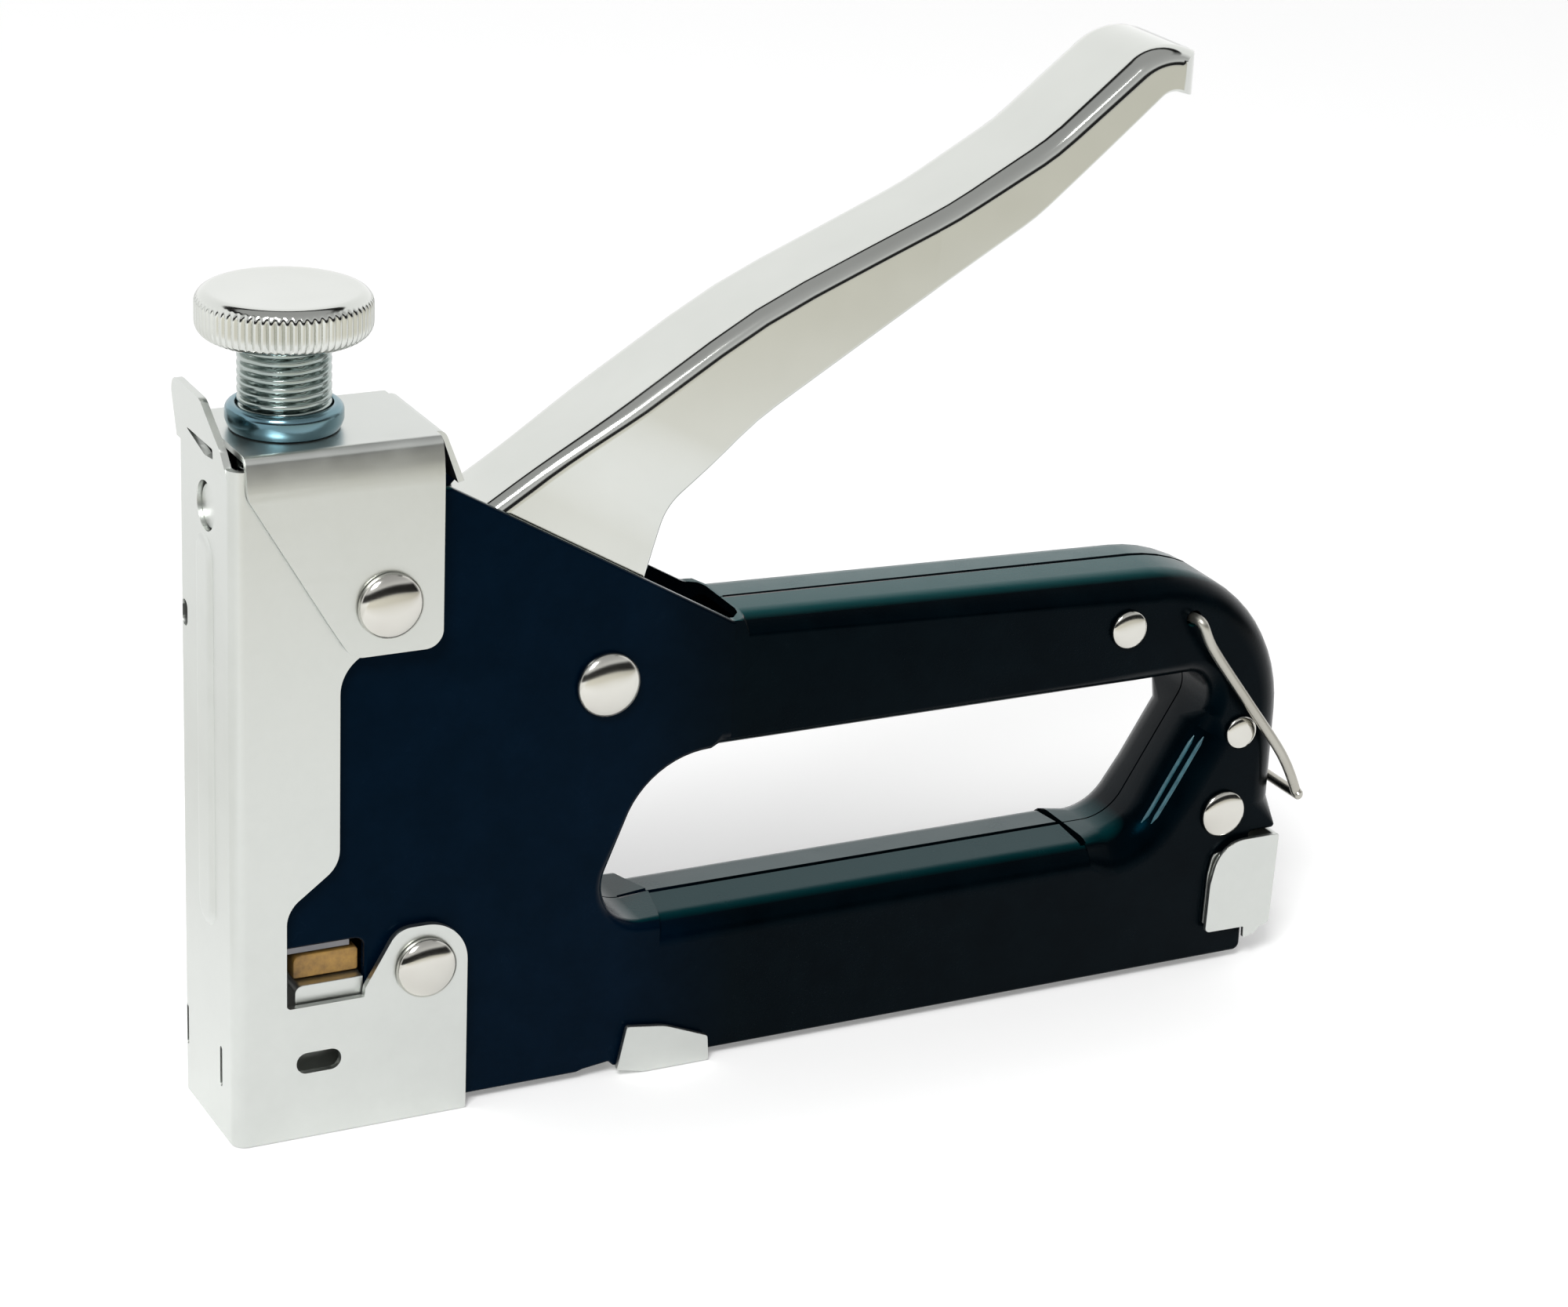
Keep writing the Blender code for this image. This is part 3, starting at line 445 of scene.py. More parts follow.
def turned(name, profile, centre, axis, sides=64, closed=False, shape=None):
    """A profile of (radius, height) turned about the z or y axis; shape may vary radius by angle and row."""
    builder = bmesh.new()
    loops = []
    for row, (radius, height) in enumerate(profile):
        ring = []
        for side in range(1 if radius == 0.0 else sides):
            angle = 2.0 * math.pi * side / sides
            wide = radius if shape is None else shape(radius, height, angle)
            first = wide * math.cos(angle)
            second = wide * math.sin(angle)
            spot = (first, second, height) if axis == "z" else (first, height, second)
            ring.append(builder.verts.new(Vector(centre) + Vector(spot)))
        loops.append(ring)
    pairs = list(zip(loops, loops[1:]))
    if closed:
        pairs.append((loops[-1], loops[0]))
    for first, second in pairs:
        for side in range(sides):
            corners = [first[(side - 1) % len(first)], first[side % len(first)]]
            corners += [second[side % len(second)], second[(side - 1) % len(second)]]
            unique = list(dict.fromkeys(corners))
            if len(unique) > 2:
                builder.faces.new(unique)
    return finish(name, builder)


def tube(name, path, radius, sides=16, ends=1.0):
    """A round wire along a path of points, closed at both ends; ends is the end rings' share of radius."""
    builder = bmesh.new()
    rings = []
    path = [Vector(point) for point in path]
    across_wire = None
    for index, point in enumerate(path):
        ahead = path[min(index + 1, len(path) - 1)] - path[max(index - 1, 0)]
        ahead.normalize()
        if across_wire is None:
            across_wire = ahead.orthogonal().normalized()
        across_wire = (across_wire - ahead * across_wire.dot(ahead)).normalized()
        third = ahead.cross(across_wire)
        size = radius * (ends if index in (0, len(path) - 1) else 1.0)
        angles = [2.0 * math.pi * side / sides for side in range(sides)]
        rings.append([point + size * (across_wire * math.cos(a) + third * math.sin(a)) for a in angles])
    skin(builder, rings)
    return finish(name, builder)


def smooth_path(corners, per_span=8):
    """Points on a Catmull-Rom curve through the corners."""
    knots = [Vector(corner) for corner in corners]
    knots = [2 * knots[0] - knots[1], *knots, 2 * knots[-1] - knots[-2]]
    path = []
    for index in range(1, len(knots) - 2):
        a, b, c, d = knots[index - 1:index + 3]
        for step in range(per_span):
            t = step / per_span
            spread = (2 * a - 5 * b + 4 * c - d) * t * t + (3 * b - a - 3 * c + d) * t ** 3
            path.append((2 * b + (c - a) * t + spread) / 2)
    path.append(knots[-2])
    return path


# ------------------------ shaping

def settle(piece):
    """Apply the piece's modifiers."""
    graph = bpy.context.evaluated_depsgraph_get()
    mesh = bpy.data.meshes.new_from_object(piece.evaluated_get(graph))
    piece.modifiers.clear()
    old = piece.data
    piece.data = mesh
    bpy.data.meshes.remove(old)


def carve(target, *cutters, operation="DIFFERENCE"):
    """Cut the cutters from the target one after another, and throw them away."""
    for cutter in cutters:
        modifier = target.modifiers.new("carve", "BOOLEAN")
        modifier.operation = operation
        modifier.solver = "EXACT"
        modifier.object = cutter
    bpy.context.view_layer.update()
    settle(target)
    for cutter in cutters:
        bpy.data.objects.remove(cutter)


def clean(piece):
    """Merge the piece's doubled points and take out its empty faces."""
    distance = 0.00001
    builder = bmesh.new()
    builder.from_mesh(piece.data)
    bmesh.ops.remove_doubles(builder, verts=builder.verts, dist=distance)
    bmesh.ops.dissolve_degenerate(builder, edges=builder.edges, dist=distance)
    builder.to_mesh(piece.data)
    builder.free()


def soften(piece, width):
    """Round the piece's sharp edges by width in millimetres."""
    clean(piece)
    bevel = piece.modifiers.new("soften", "BEVEL")
    bevel.width = width * MM
    bevel.segments = 2
    bevel.limit_method = "ANGLE"
    bevel.angle_limit = math.radians(50.0)
    bevel.use_clamp_overlap = True
    bevel.loop_slide = False
    bpy.context.view_layer.update()
    settle(piece)


def shade(piece, below=32.0):
    """Smooth shading that keeps flat faces flat and sharp edges sharp."""
    piece.data.shade_smooth()
    piece.data.set_sharp_from_angle(angle=math.radians(below))
    weighted = piece.modifiers.new("weighted", "WEIGHTED_NORMAL")
    weighted.keep_sharp = True
    bpy.context.view_layer.update()
    settle(piece)


def drill(target, x, z, radius, low=-20.0, high=20.0):
    """Cut a round hole across the target."""
    profile = [(0.0, low), (radius, low), (radius, high), (0.0, high)]
    carve(target, turned("drill", profile, (x, 0.0, z), "y", sides=48))


def mirror_across(piece):
    """Swap a piece to the other side of the middle plane, with its faces still outward."""
    for vertex in piece.data.vertices:
        vertex.co.y = -vertex.co.y
    piece.data.flip_normals()


def join(target, *others):
    """Put the others' meshes into the target's."""
    builder = bmesh.new()
    builder.from_mesh(target.data)
    for other in others:
        builder.from_mesh(other.data)
        bpy.data.objects.remove(other)
    builder.to_mesh(target.data)
    builder.free()


def dress(piece, body, slot, look, *nodes):
    """Give a finished piece its material, its body and the nodes that it stands for."""
    piece.data.materials.append(look)
    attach(piece, body)
    if nodes:
        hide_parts(*nodes)
    return piece


# ------------------------ materials

class Nodes:
    """A material's node tree, with short calls for the nodes it uses."""

    def __init__(self, name):
        self.material = bpy.data.materials.new(name)
        self.material.use_nodes = True
        self.tree = self.material.node_tree
        self.shader = self.tree.nodes["Principled BSDF"]
        self.place = self.add("ShaderNodeTexCoord").outputs["Object"]

    def add(self, kind, **values):
        node = self.tree.nodes.new(kind)
        for key, value in values.items():
            setattr(node, key, value)
        return node

    def link(self, source, target):
        self.tree.links.new(source, target)

    def noise(self, scale, detail=3.0, roughness=0.5, stretch=(1.0, 1.0, 1.0)):
        mapping = self.add("ShaderNodeMapping")
        mapping.inputs["Scale"].default_value = stretch
        self.link(self.place, mapping.inputs["Vector"])
        node = self.add("ShaderNodeTexNoise")
        node.inputs["Scale"].default_value = scale
        node.inputs["Detail"].default_value = detail
        node.inputs["Roughness"].default_value = roughness
        self.link(mapping.outputs["Vector"], node.inputs["Vector"])
        return node.outputs["Fac"]

    def ramp(self, source, stops):
        node = self.add("ShaderNodeValToRGB")
        elements = node.color_ramp.elements
        while len(elements) < len(stops):
            elements.new(0.5)
        for element, (position, colour) in zip(elements, stops):
            element.position = position
            element.color = (*colour, 1.0)
        self.link(source, node.inputs["Fac"])
        return node.outputs["Color"]

    def span(self, source, low, high, from_low=0.0, from_high=1.0):
        node = self.add("ShaderNodeMapRange")
        node.inputs["From Min"].default_value = from_low
        node.inputs["From Max"].default_value = from_high
        node.inputs["To Min"].default_value = low
        node.inputs["To Max"].default_value = high
        self.link(source, node.inputs["Value"])
        return node.outputs["Result"]

    def mix(self, factor, first, second):
        node = self.add("ShaderNodeMix", data_type="RGBA")
        for source, socket in ((factor, 0), (first, 6), (second, 7)):
            if isinstance(source, (tuple, float)):
                value = source if isinstance(source, float) else (*source, 1.0)
                node.inputs[socket].default_value = value
            else:
                self.link(source, node.inputs[socket])
        return node.outputs[2]

    def bump(self, height, strength, distance):
        node = self.add("ShaderNodeBump")
        node.inputs["Strength"].default_value = strength
        node.inputs["Distance"].default_value = distance
        self.link(height, node.inputs["Height"])
        self.link(node.outputs["Normal"], self.shader.inputs["Normal"])


def sheet_metal(name, light, dark, rough):
    """Plated pressed sheet: a satin surface with faint rolling lines and cloudy plating."""
    nodes = Nodes(name)
    nodes.shader.inputs["Metallic"].default_value = 1.0
    cloud = nodes.noise(90.0, 4.0, 0.6)
    lines = nodes.noise(700.0, 2.0, 0.5, (0.06, 1.0, 1.0))
    colour = nodes.ramp(cloud, [(0.35, dark), (0.65, light)])
    nodes.link(colour, nodes.shader.inputs["Base Color"])
    nodes.link(nodes.span(cloud, rough * 0.85, rough * 1.15, 0.3, 0.7), nodes.shader.inputs["Roughness"])
    nodes.bump(lines, 0.25, 0.00004)
    return nodes.material


def plated(name, light, dark, rough):
    """Bright plating on a polished part: a mirror with faint smears and a slight ripple."""
    nodes = Nodes(name)
    nodes.shader.inputs["Metallic"].default_value = 1.0
    smear = nodes.noise(60.0, 3.0, 0.55)
    colour = nodes.ramp(smear, [(0.3, dark), (0.7, light)])
    nodes.link(colour, nodes.shader.inputs["Base Color"])
    nodes.link(nodes.span(smear, rough * 0.7, rough * 1.4, 0.3, 0.7), nodes.shader.inputs["Roughness"])
    nodes.bump(nodes.noise(35.0, 1.0), 0.2, 0.00002)
    return nodes.material


def make_paint():
    """Dark navy enamel over pressed steel. Painted shade makes the bars nearly black behind the bluer cheek,
    and painted sheen makes faces that point up a paler teal.
    """
    nodes = Nodes("navy_enamel")
    shader = nodes.shader
    split = nodes.add("ShaderNodeSeparateXYZ")
    nodes.link(nodes.place, split.inputs["Vector"])
    # Painted shade: behind the cheek's rear edge the bars take a near-black copy of the navy.
    cheek_end = (CHEEK_END + NOSE_FRONT) * MM
    along = nodes.span(split.outputs["X"], 0.0, 1.0, cheek_end - 0.016, cheek_end + 0.002)
    cloud = nodes.noise(160.0, 3.0, 0.6)
    navy = nodes.ramp(cloud, [(0.3, (0.0002, 0.0034, 0.0092)), (0.7, (0.0004, 0.0048, 0.0130))])
    black = nodes.ramp(cloud, [(0.3, (0.0002, 0.0010, 0.0018)), (0.7, (0.0004, 0.0020, 0.0032))])
    side = nodes.mix(along, navy, black)
    # Painted sheen: faces that point up take a paler teal, blended from the lower bar's tone to the upper
    # bar's by height.
    facing = nodes.add("ShaderNodeSeparateXYZ")
    nodes.link(nodes.add("ShaderNodeTexCoord").outputs["Normal"], facing.inputs["Vector"])
    up = nodes.span(facing.outputs["Z"], 0.0, 1.0, 0.8, 1.0)
    painted_sheen = nodes.mix(nodes.span(split.outputs["Z"], 0.0, 1.0, 0.03, 0.05), PAINTED_SHEEN_LOW, PAINTED_SHEEN_HIGH)
    nodes.link(nodes.mix(up, side, painted_sheen), shader.inputs["Base Color"])
    nodes.link(nodes.span(cloud, 0.20, 0.28, 0.3, 0.7), shader.inputs["Roughness"])
    shader.inputs["IOR"].default_value = 1.35
    shader.inputs["Specular Tint"].default_value = (0.0, 0.04, 0.07, 1.0)
    nodes.bump(nodes.noise(2500.0, 2.0), 0.2, 0.00005)
    return nodes.material


def make_bead_highlight():
    """A paler, greener blue for the enamel on the raised lines: a painted highlight along them."""
    nodes = Nodes("painted_bead_highlight")
    cloud = nodes.noise(400.0, 3.0, 0.6)
    colour = nodes.ramp(cloud, [(0.3, (0.008, 0.050, 0.070)), (0.7, (0.040, 0.130, 0.160))])
    nodes.link(colour, nodes.shader.inputs["Base Color"])
    nodes.shader.inputs["Roughness"].default_value = 0.3
    return nodes.material


def make_amber():
    """The buffer's cast polyurethane, dull; its slight translucency is left out of the shader."""
    nodes = Nodes("amber_buffer")
    cloud = nodes.noise(300.0, 4.0, 0.65)
    colour = nodes.ramp(cloud, [(0.3, (0.14, 0.08, 0.03)), (0.7, (0.42, 0.24, 0.055))])
    nodes.link(colour, nodes.shader.inputs["Base Color"])
    nodes.shader.inputs["Roughness"].default_value = 0.55
    nodes.bump(cloud, 0.3, 0.0001)
    return nodes.material


# ------------------------ sub-parts

def make_shell(name, side):
    """One stamped half: a flat cheek and rounded bars round the hand opening."""
    shell = slab(name, SHELL_OUTLINE, SEAM, SHELL_HALF)
    opening = slab("opening", HAND_OPENING, -2.0, SHELL_HALF, flare=True)
    hollow = slab("hollow", HOLLOW_OUTLINE, -2.0, SHELL_HALF - SHELL_WALL, steps=3, arc=15.0)
    rim_corners = thinned(grow(HAND_OPENING, SHELL_WALL), SHELL_WALL)
    rim = slab("rim", rim_corners, -3.0, SHELL_HALF - SHELL_WALL, flare=True, steps=3, arc=15.0)
    carve(hollow, rim)
    carve(shell, opening)
    carve(shell, bar_top_cutter(), groove_cutter(), bar_step_cutter())
    carve(shell, hollow)
    for x, z, head, shank, height, half in RIVETS.values():
        drill(shell, x, z, shank + HOLE_CLEARANCE, -2.0, 12.0)
    drill(shell, *BAIL_PIVOT, BAIL_RADIUS + 0.5, -2.0, 12.0)
    crown(shell)
    if side < 0:
        join(shell, *[make_bead(math.radians(angle)) for angle in BEAD_ANGLES])
        mirror_across(shell)
    shade(shell, 28.0)
    return shell


def at_height(path, height):
    """Where a rising path of points first reaches a height."""
    for low, high in zip(path, path[1:]):
        if low.z <= height <= high.z:
            return low.lerp(high, (height - low.z) / (high.z - low.z))


def make_bead(angle):
    """A raised line along the opening's rear end, at one angle round its rounded edge."""
    corners = rounded(HAND_OPENING)
    flat = inset(corners, lambda edge: -edge * (1.0 - math.cos(angle)))
    wall = []
    for (x, z), corner in zip(flat, corners):
        if x > LOWER_BAR_TOP[1]:
            wall.append(Vector((x, SHELL_HALF - corner[2] * (1.0 - math.sin(angle)), z)))
    low, high = BEAD_REACH
    heights = [low + (high - low) * step / BEAD_STEPS for step in range(BEAD_STEPS + 1)]
    bead = tube("bead", [at_height(wall, z) for z in heights], BEAD_RADIUS, sides=12, ends=0.2)
    # The bead's faces take the shell's second material, the painted highlight along the raised lines.
    for face in bead.data.polygons:
        face.material_index = 1
    return bead


def crown(shell):
    """Slope each bar's top to its side, and round it down to the seam so that the two halves part there."""
    ridge = SEAM + SEAM_RIDGE
    near = 0.05
    upper_x, upper_z, upper_lift = UPPER_CROWN
    lower_x, lower_z, lower_top, lower_lift = LOWER_CROWN
    builder = bmesh.new()
    builder.from_mesh(shell.data)
    whole = [*builder.verts, *builder.edges, *builder.faces]
    bmesh.ops.bisect_plane(builder, geom=whole, plane_co=(0.0, ridge * MM, 0.0), plane_no=(0.0, 1.0, 0.0))
    for vertex in builder.verts:
        x = vertex.co.x / MM - NOSE_FRONT
        y = vertex.co.y / MM
        z = vertex.co.z / MM
        upper = x > upper_x and z > upper_z
        lower = lower_x < x < LOWER_BAR_TOP[1] and lower_z < z < lower_top
        if y > ridge + near or not (upper or lower):
            continue
        lift = upper_lift if upper else lower_lift
        vertex.co.z += (lift if y > ridge - near else lift - SEAM_DROP) * MM
    builder.to_mesh(shell.data)
    builder.free()


def bar_top_cutter():
    """What is planed off the lower bar between its two end steps: a flat top with rounded edges."""
    x_from, x_to, top, radius = LOWER_BAR_TOP
    half = SHELL_HALF
    profile = [(-3.0, top, 0.0), (half, top, radius), (half, top - radius - 0.5, 0.0)]
    profile += [(half + 3.0, top - radius - 0.5, 0.0), (half + 3.0, top + 4.0, 0.0), (-3.0, top + 4.0, 0.0)]
    cutter = across("bar_top", profile, x_from, x_to)
    for vertex in cutter.data.vertices:
        if vertex.co.x / MM - NOSE_FRONT < x_to - 1.0:
            vertex.co.x -= STEP_SLANT * max(vertex.co.y, 0.0)
    return cutter


def groove_cutter():
    """The gap across the lower bar, between the rear end of its flat top and the opening's end."""
    x_from, x_to, z_low = STEP_GROOVE
    return block("groove", (x_from, -3.0, z_low), (x_to, SHELL_HALF - 2.2, 26.0))


def bar_step_cutter():
    """A thin wedge off the upper bar's side, which leaves the cheek standing proud at its rear edge."""
    plan = [(CHEEK_END, SHELL_HALF - 0.32, 0.0), (76.0, SHELL_HALF + 2.0, 0.0)]
    plan += [(152.0, SHELL_HALF + 2.0, 0.0), (152.0, SHELL_HALF, 0.0)]
    return upright("bar_step", plan, 46.0, 70.0)


def make_nose():
    """The folded sheet round the front, with its window, its slots, its rib and its forward tab."""
    outline = [
        (0.0, -NOSE_HALF, NOSE_BEND),
        (NOSE_BACK, -NOSE_HALF, 0.0),
        (NOSE_BACK, -NOSE_HALF + NOSE_WALL, 0.0),
        (NOSE_WALL, -NOSE_HALF + NOSE_WALL, NOSE_BEND - NOSE_WALL),
        (NOSE_WALL, NOSE_HALF - NOSE_WALL, NOSE_BEND - NOSE_WALL),
        (NOSE_BACK, NOSE_HALF - NOSE_WALL, 0.0),
        (NOSE_BACK, NOSE_HALF, 0.0),
        (0.0, NOSE_HALF, NOSE_BEND),
    ]
    nose = upright("nose_sheet", outline, 0.0, NOSE_TOP)
    tab = across("tab", NOSE_TAB, 0.0, NOSE_WALL)
    for vertex in tab.data.vertices:
        vertex.co.x -= max(vertex.co.z - 99.0 * MM, 0.0) * 0.13
    carve(nose, tab, operation="UNION")
    slot = [(9.0, 9.9, 1.55), (15.6, 9.9, 1.55), (15.6, 13.1, 1.55), (9.0, 13.1, 1.55)]
    y, z, radius = ROUND_HOLE
    ring = [(y - radius, z - radius, radius), (y - radius, z + radius, radius)]
    ring += [(y + radius, z + radius, radius), (y + radius, z - radius, radius)]
    cutters = [plate("side", NOSE_SIDE_CUT, -15.0, 15.0), plate("oblong", slot, -15.0, 15.0)]
    cutters.append(across("round", ring, -4.0, 4.0))
    for y, low, high, half in FRONT_SLITS:
        outline = [(y - half, low, half), (y + half, low, half)]
        outline += [(y + half, high, half), (y - half, high, half)]
        cutters.append(across("slit", outline, -4.0, 1.6))
    cutters.append(across("tab_slot", TAB_SLOT, -4.0, 1.6))
    carve(nose, *cutters)
    for name in ("cap_rivet", "nose_rivet"):
        x, z, head, shank, height, half = RIVETS[name]
        drill(nose, x, z, shank + HOLE_CLEARANCE)
    soften(nose, 0.22)
    join(nose, make_rib(), make_plug())
    shade(nose)
    return nose


def make_rib():
    """The long stiffening rib pressed out of the nose's front."""
    low_y, high_y, low_z, high_z = FRONT_RIB
    middle = (low_y + high_y) / 2.0
    half = (high_y - low_y) / 2.0
    builder = bmesh.new()
    rings = []
    for depth, share in ((0.3, 1.0), (0.0, 1.0), (-0.14, 0.93), (-0.32, 0.8), (-0.42, 0.66), (-0.45, 0.5)):
        wide = half * share
        ring = []
        for z, start in ((high_z - half, 0.0), (low_z + half, math.pi)):
            for step in range(25):
                angle = start + math.pi * step / 24
                ring.append((depth, middle + wide * math.cos(angle), z + wide * math.sin(angle)))
        rings.append(ring)
    skin(builder, rings)
    return finish("rib", builder)


def make_plug():
    """The disc that closes the round hole, set back behind the front face."""
    y, z, radius = HOLE_PLUG
    builder = bmesh.new()
    rings = []
    for depth, wide in ((1.6, radius), (0.8, radius), (0.65, radius - 0.15)):
        angles = [2.0 * math.pi * side / 48 for side in range(48)]
        rings.append([(depth, y + wide * math.cos(a), z + wide * math.sin(a)) for a in angles])
    skin(builder, rings)
    return finish("plug", builder)


def mirrored(corners):
    """The corners of a half outline on the other side of the middle plane, in walking order."""
    return [(-y, z, radius) for y, z, radius in reversed(corners)]


def make_cap():
    """The saddle over the nose: a top plate, two side flaps and a short bent lip behind."""
    half = CAP_HALF
    wall = CAP_WALL
    outer = [(-half, 60.0, 0.0), (-half, 97.6, 19.0), (-half + 1.02, CAP_TOP, 1.4)]
    inner = [(-half + wall, 60.0, 0.0), (-half + wall, 97.5, 18.0), (-half + wall + 0.8, CAP_TOP - wall, 0.5)]
    outline = [*outer, *mirrored(outer), *reversed(mirrored(inner)), *reversed(inner)]
    cap = across("cap_sheet", outline, 1.9, 29.8)
    carve(cap, plate("flap", CAP_FLAP, -20.0, 20.0), operation="INTERSECT")
    lip = [
        (29.0, CAP_TOP, 0.0),
        (31.0, CAP_TOP, 1.5),
        (33.9, 94.0, 0.0),
        (33.0, 93.7, 0.0),
        (30.6, CAP_TOP - wall, 0.6),
        (29.0, CAP_TOP - wall, 0.0),
    ]
    carve(cap, plate("lip", lip, -8.8, 8.8), operation="UNION")
    bore = [(0.0, 90.0), (SCREW_RADIUS + 0.3, 90.0), (SCREW_RADIUS + 0.3, 110.0), (0.0, 110.0)]
    carve(cap, turned("bore", bore, (SLIDE_X, 0.0, 0.0), "z"))
    x, z, head, shank, height, base = RIVETS["cap_rivet"]
    drill(cap, x, z, shank + HOLE_CLEARANCE)
    soften(cap, 0.2)
    shade(cap)
    return cap


def make_rivet(name):
    """A through rivet with a domed head on each side and a fine flat rim under it."""
    x, z, head, shank, height, half = RIVETS[name]
    base = half + 0.2
    rise = height - 0.35
    profile = []
    steps = 14
    for step in range(steps + 1):
        angle = math.pi / 2.0 * step / steps
        radius = head * math.sin(angle) ** 0.92
        profile.append((radius, base + 0.35 + rise * math.cos(angle)))
    profile += [(head, base + 0.12), (head - 0.12, base), (shank, base)]
    profile += [(r, -y) for r, y in reversed(profile)]
    rivet = turned(name + "_head", profile, (x, 0.0, z), "y", sides=72)
    shade(rivet, 40.0)
    return rivet


def half_width_at(height):
    """The handle's half width at a height above the cheek's slope."""
    half = HANDLE_HALF
    for (low, high), wide in ((CHEEK_TO_GRIP, GRIP_HALF), (GRIP_TO_TIP, TIP_HALF)):
        share = min(max((height - low) / (high - low), 0.0), 1.0)
        half += (wide - half) * share * share * (3.0 - 2.0 * share)
    return half


def spread(piece):
    """Widen the handle where it stands clear of the cheeks."""
    foot = Vector((CHEEK_SLOPE[0] + NOSE_FRONT, 0.0, CHEEK_SLOPE[1])) * MM
    up = Vector((CHEEK_NORMAL[0], 0.0, CHEEK_NORMAL[1])).normalized()
    builder = bmesh.new()
    builder.from_mesh(piece.data)
    heights = []
    for low, high in (CHEEK_TO_GRIP, GRIP_TO_TIP):
        heights += [low + (high - low) * step / WIDENING_STEPS for step in range(WIDENING_STEPS + 1)]
    for height in heights:
        whole = [*builder.verts, *builder.edges, *builder.faces]
        bmesh.ops.bisect_plane(builder, geom=whole, plane_co=foot + up * height * MM, plane_no=up)
    for vertex in builder.verts:
        height = (vertex.co - foot).dot(up) / MM
        vertex.co.y *= half_width_at(height) / HANDLE_HALF
    builder.normal_update()
    builder.to_mesh(piece.data)
    builder.free()


def make_handle():
    """The squeeze handle: a channel with rounded upper edges and a tip that is round in plan."""
    handle = slab("handle_sheet", HANDLE_OUTLINE, -HANDLE_HALF, HANDLE_HALF, soft_low=True, steps=8)
    inner = HANDLE_HALF - HANDLE_WALL
    space = thinned(grow(HANDLE_SPACE, -HANDLE_WALL), HANDLE_WALL)
    hollow = slab("handle_hollow", space, -inner, inner, soft_low=True, steps=3, arc=12.0)
    carve(hollow, round_tip(HANDLE_WALL), operation="INTERSECT")
    carve(handle, round_tip(0.0), operation="INTERSECT")
    carve(handle, hollow)
    x, z, head, shank, height, half = RIVETS["handle_pivot_rivet"]
    drill(handle, x, z, shank + HOLE_CLEARANCE)
    spread(handle)
    shade(handle, 30.0)
    return handle


def round_tip(wall):
    """A block whose rear end is round in plan, to keep the handle inside of."""
    half = HANDLE_HALF + 0.5 - wall
    tip = HANDLE_TIP - wall
    bend = HANDLE_TIP_ROUND - wall
    front = 20.0
    plan = [(front, -half, 0.0), (tip, -half, bend), (tip, half, bend), (front, half, 0.0)]
    return upright("tip", plan, 20.0, 170.0)


def make_knob():
    """The power knob: a slightly dished top, a rounded shoulder and straight knurling."""
    ridges = 70
    low_round = 2.2
    top_round = 1.9
    profile = [(0.0, KNOB_FOOT), (9.2, KNOB_FOOT)]
    for step in range(9):
        angle = math.pi / 2.0 * step / 8
        radius = KNOB_RADIUS - low_round * (1.0 - math.sin(angle))
        profile.append((radius, KNOB_FOOT + low_round * (1.0 - math.cos(angle))))
    side_low = KNOB_FOOT + low_round
    side_high = KNOB_TOP - top_round
    for step in range(1, 4):
        profile.append((KNOB_RADIUS, side_low + (side_high - side_low) * step / 4))
    for step in range(11):
        angle = math.pi / 2.0 * step / 10
        radius = KNOB_RADIUS - top_round * (1.0 - math.cos(angle))
        profile.append((radius, KNOB_TOP - top_round * (1.0 - math.sin(angle))))
    profile += [(9.2, KNOB_TOP - 0.03), (5.0, KNOB_TOP - 0.08), (0.0, KNOB_TOP - 0.1)]
    low = KNOB_FOOT + 0.5
    high = KNOB_TOP - 0.7

    def knurl(radius, height, angle):
        fade = min(max((height - low) / 0.8, 0.0), 1.0) * min(max((high - height) / 0.9, 0.0), 1.0)
        groove = (0.5 - 0.5 * math.cos(ridges * angle)) ** 2.2
        return radius - 0.34 * fade * groove

    knob = turned("knob_knurled", profile, (SLIDE_X, 0.0, 0.0), "z", sides=ridges * 8, shape=knurl)
    shade(knob, 60.0)
    return knob


def make_screw():
    """The threaded post, its thread a true helix."""
    low = 94.0
    high = KNOB_FOOT - GAP
    rows = round((high - low) / THREAD_PITCH * 10)
    profile = [(0.0, low), (SCREW_RADIUS - 0.9, low)]
    profile += [(SCREW_RADIUS, low + 0.02 + (high - low - 0.04) * row / rows) for row in range(rows + 1)]
    profile += [(SCREW_RADIUS - 0.9, high), (0.0, high)]

    def thread(radius, height, angle):
        if radius < SCREW_RADIUS:
            return radius
        turn = (height / THREAD_PITCH - angle / (2.0 * math.pi)) % 1.0
        valley = max(abs(2.0 * turn - 1.0) - 0.45, 0.0) / 0.55
        return radius - 0.7 * valley

    screw = turned("post_threaded", profile, (SLIDE_X, 0.0, 0.0), "z", sides=96, shape=thread)
    shade(screw, 70.0)
    return screw


def make_bushing():
    """The collar round the post, with a soft shoulder and a narrow foot."""
    bore = SCREW_RADIUS + 0.2
    low = CAP_TOP + 0.2
    top = box_mm("tension_bushing")[1][2]
    profile = [(bore, low), (BUSHING_RADIUS - 0.5, low), (BUSHING_RADIUS - 0.25, low + 0.5)]
    profile += [(BUSHING_RADIUS, low + 1.2), (BUSHING_RADIUS, top - 1.1)]
    for step in range(1, 9):
        angle = math.pi / 2.0 * step / 8
        profile.append((BUSHING_RADIUS - 1.1 + 1.1 * math.cos(angle), top - 1.1 + 1.1 * math.sin(angle)))
    profile += [(bore + 0.15, top), (bore, top - 0.15)]
    collar = turned("collar_ring", profile, (SLIDE_X, 0.0, 0.0), "z", sides=96, closed=True)
    shade(collar, 50.0)
    return collar


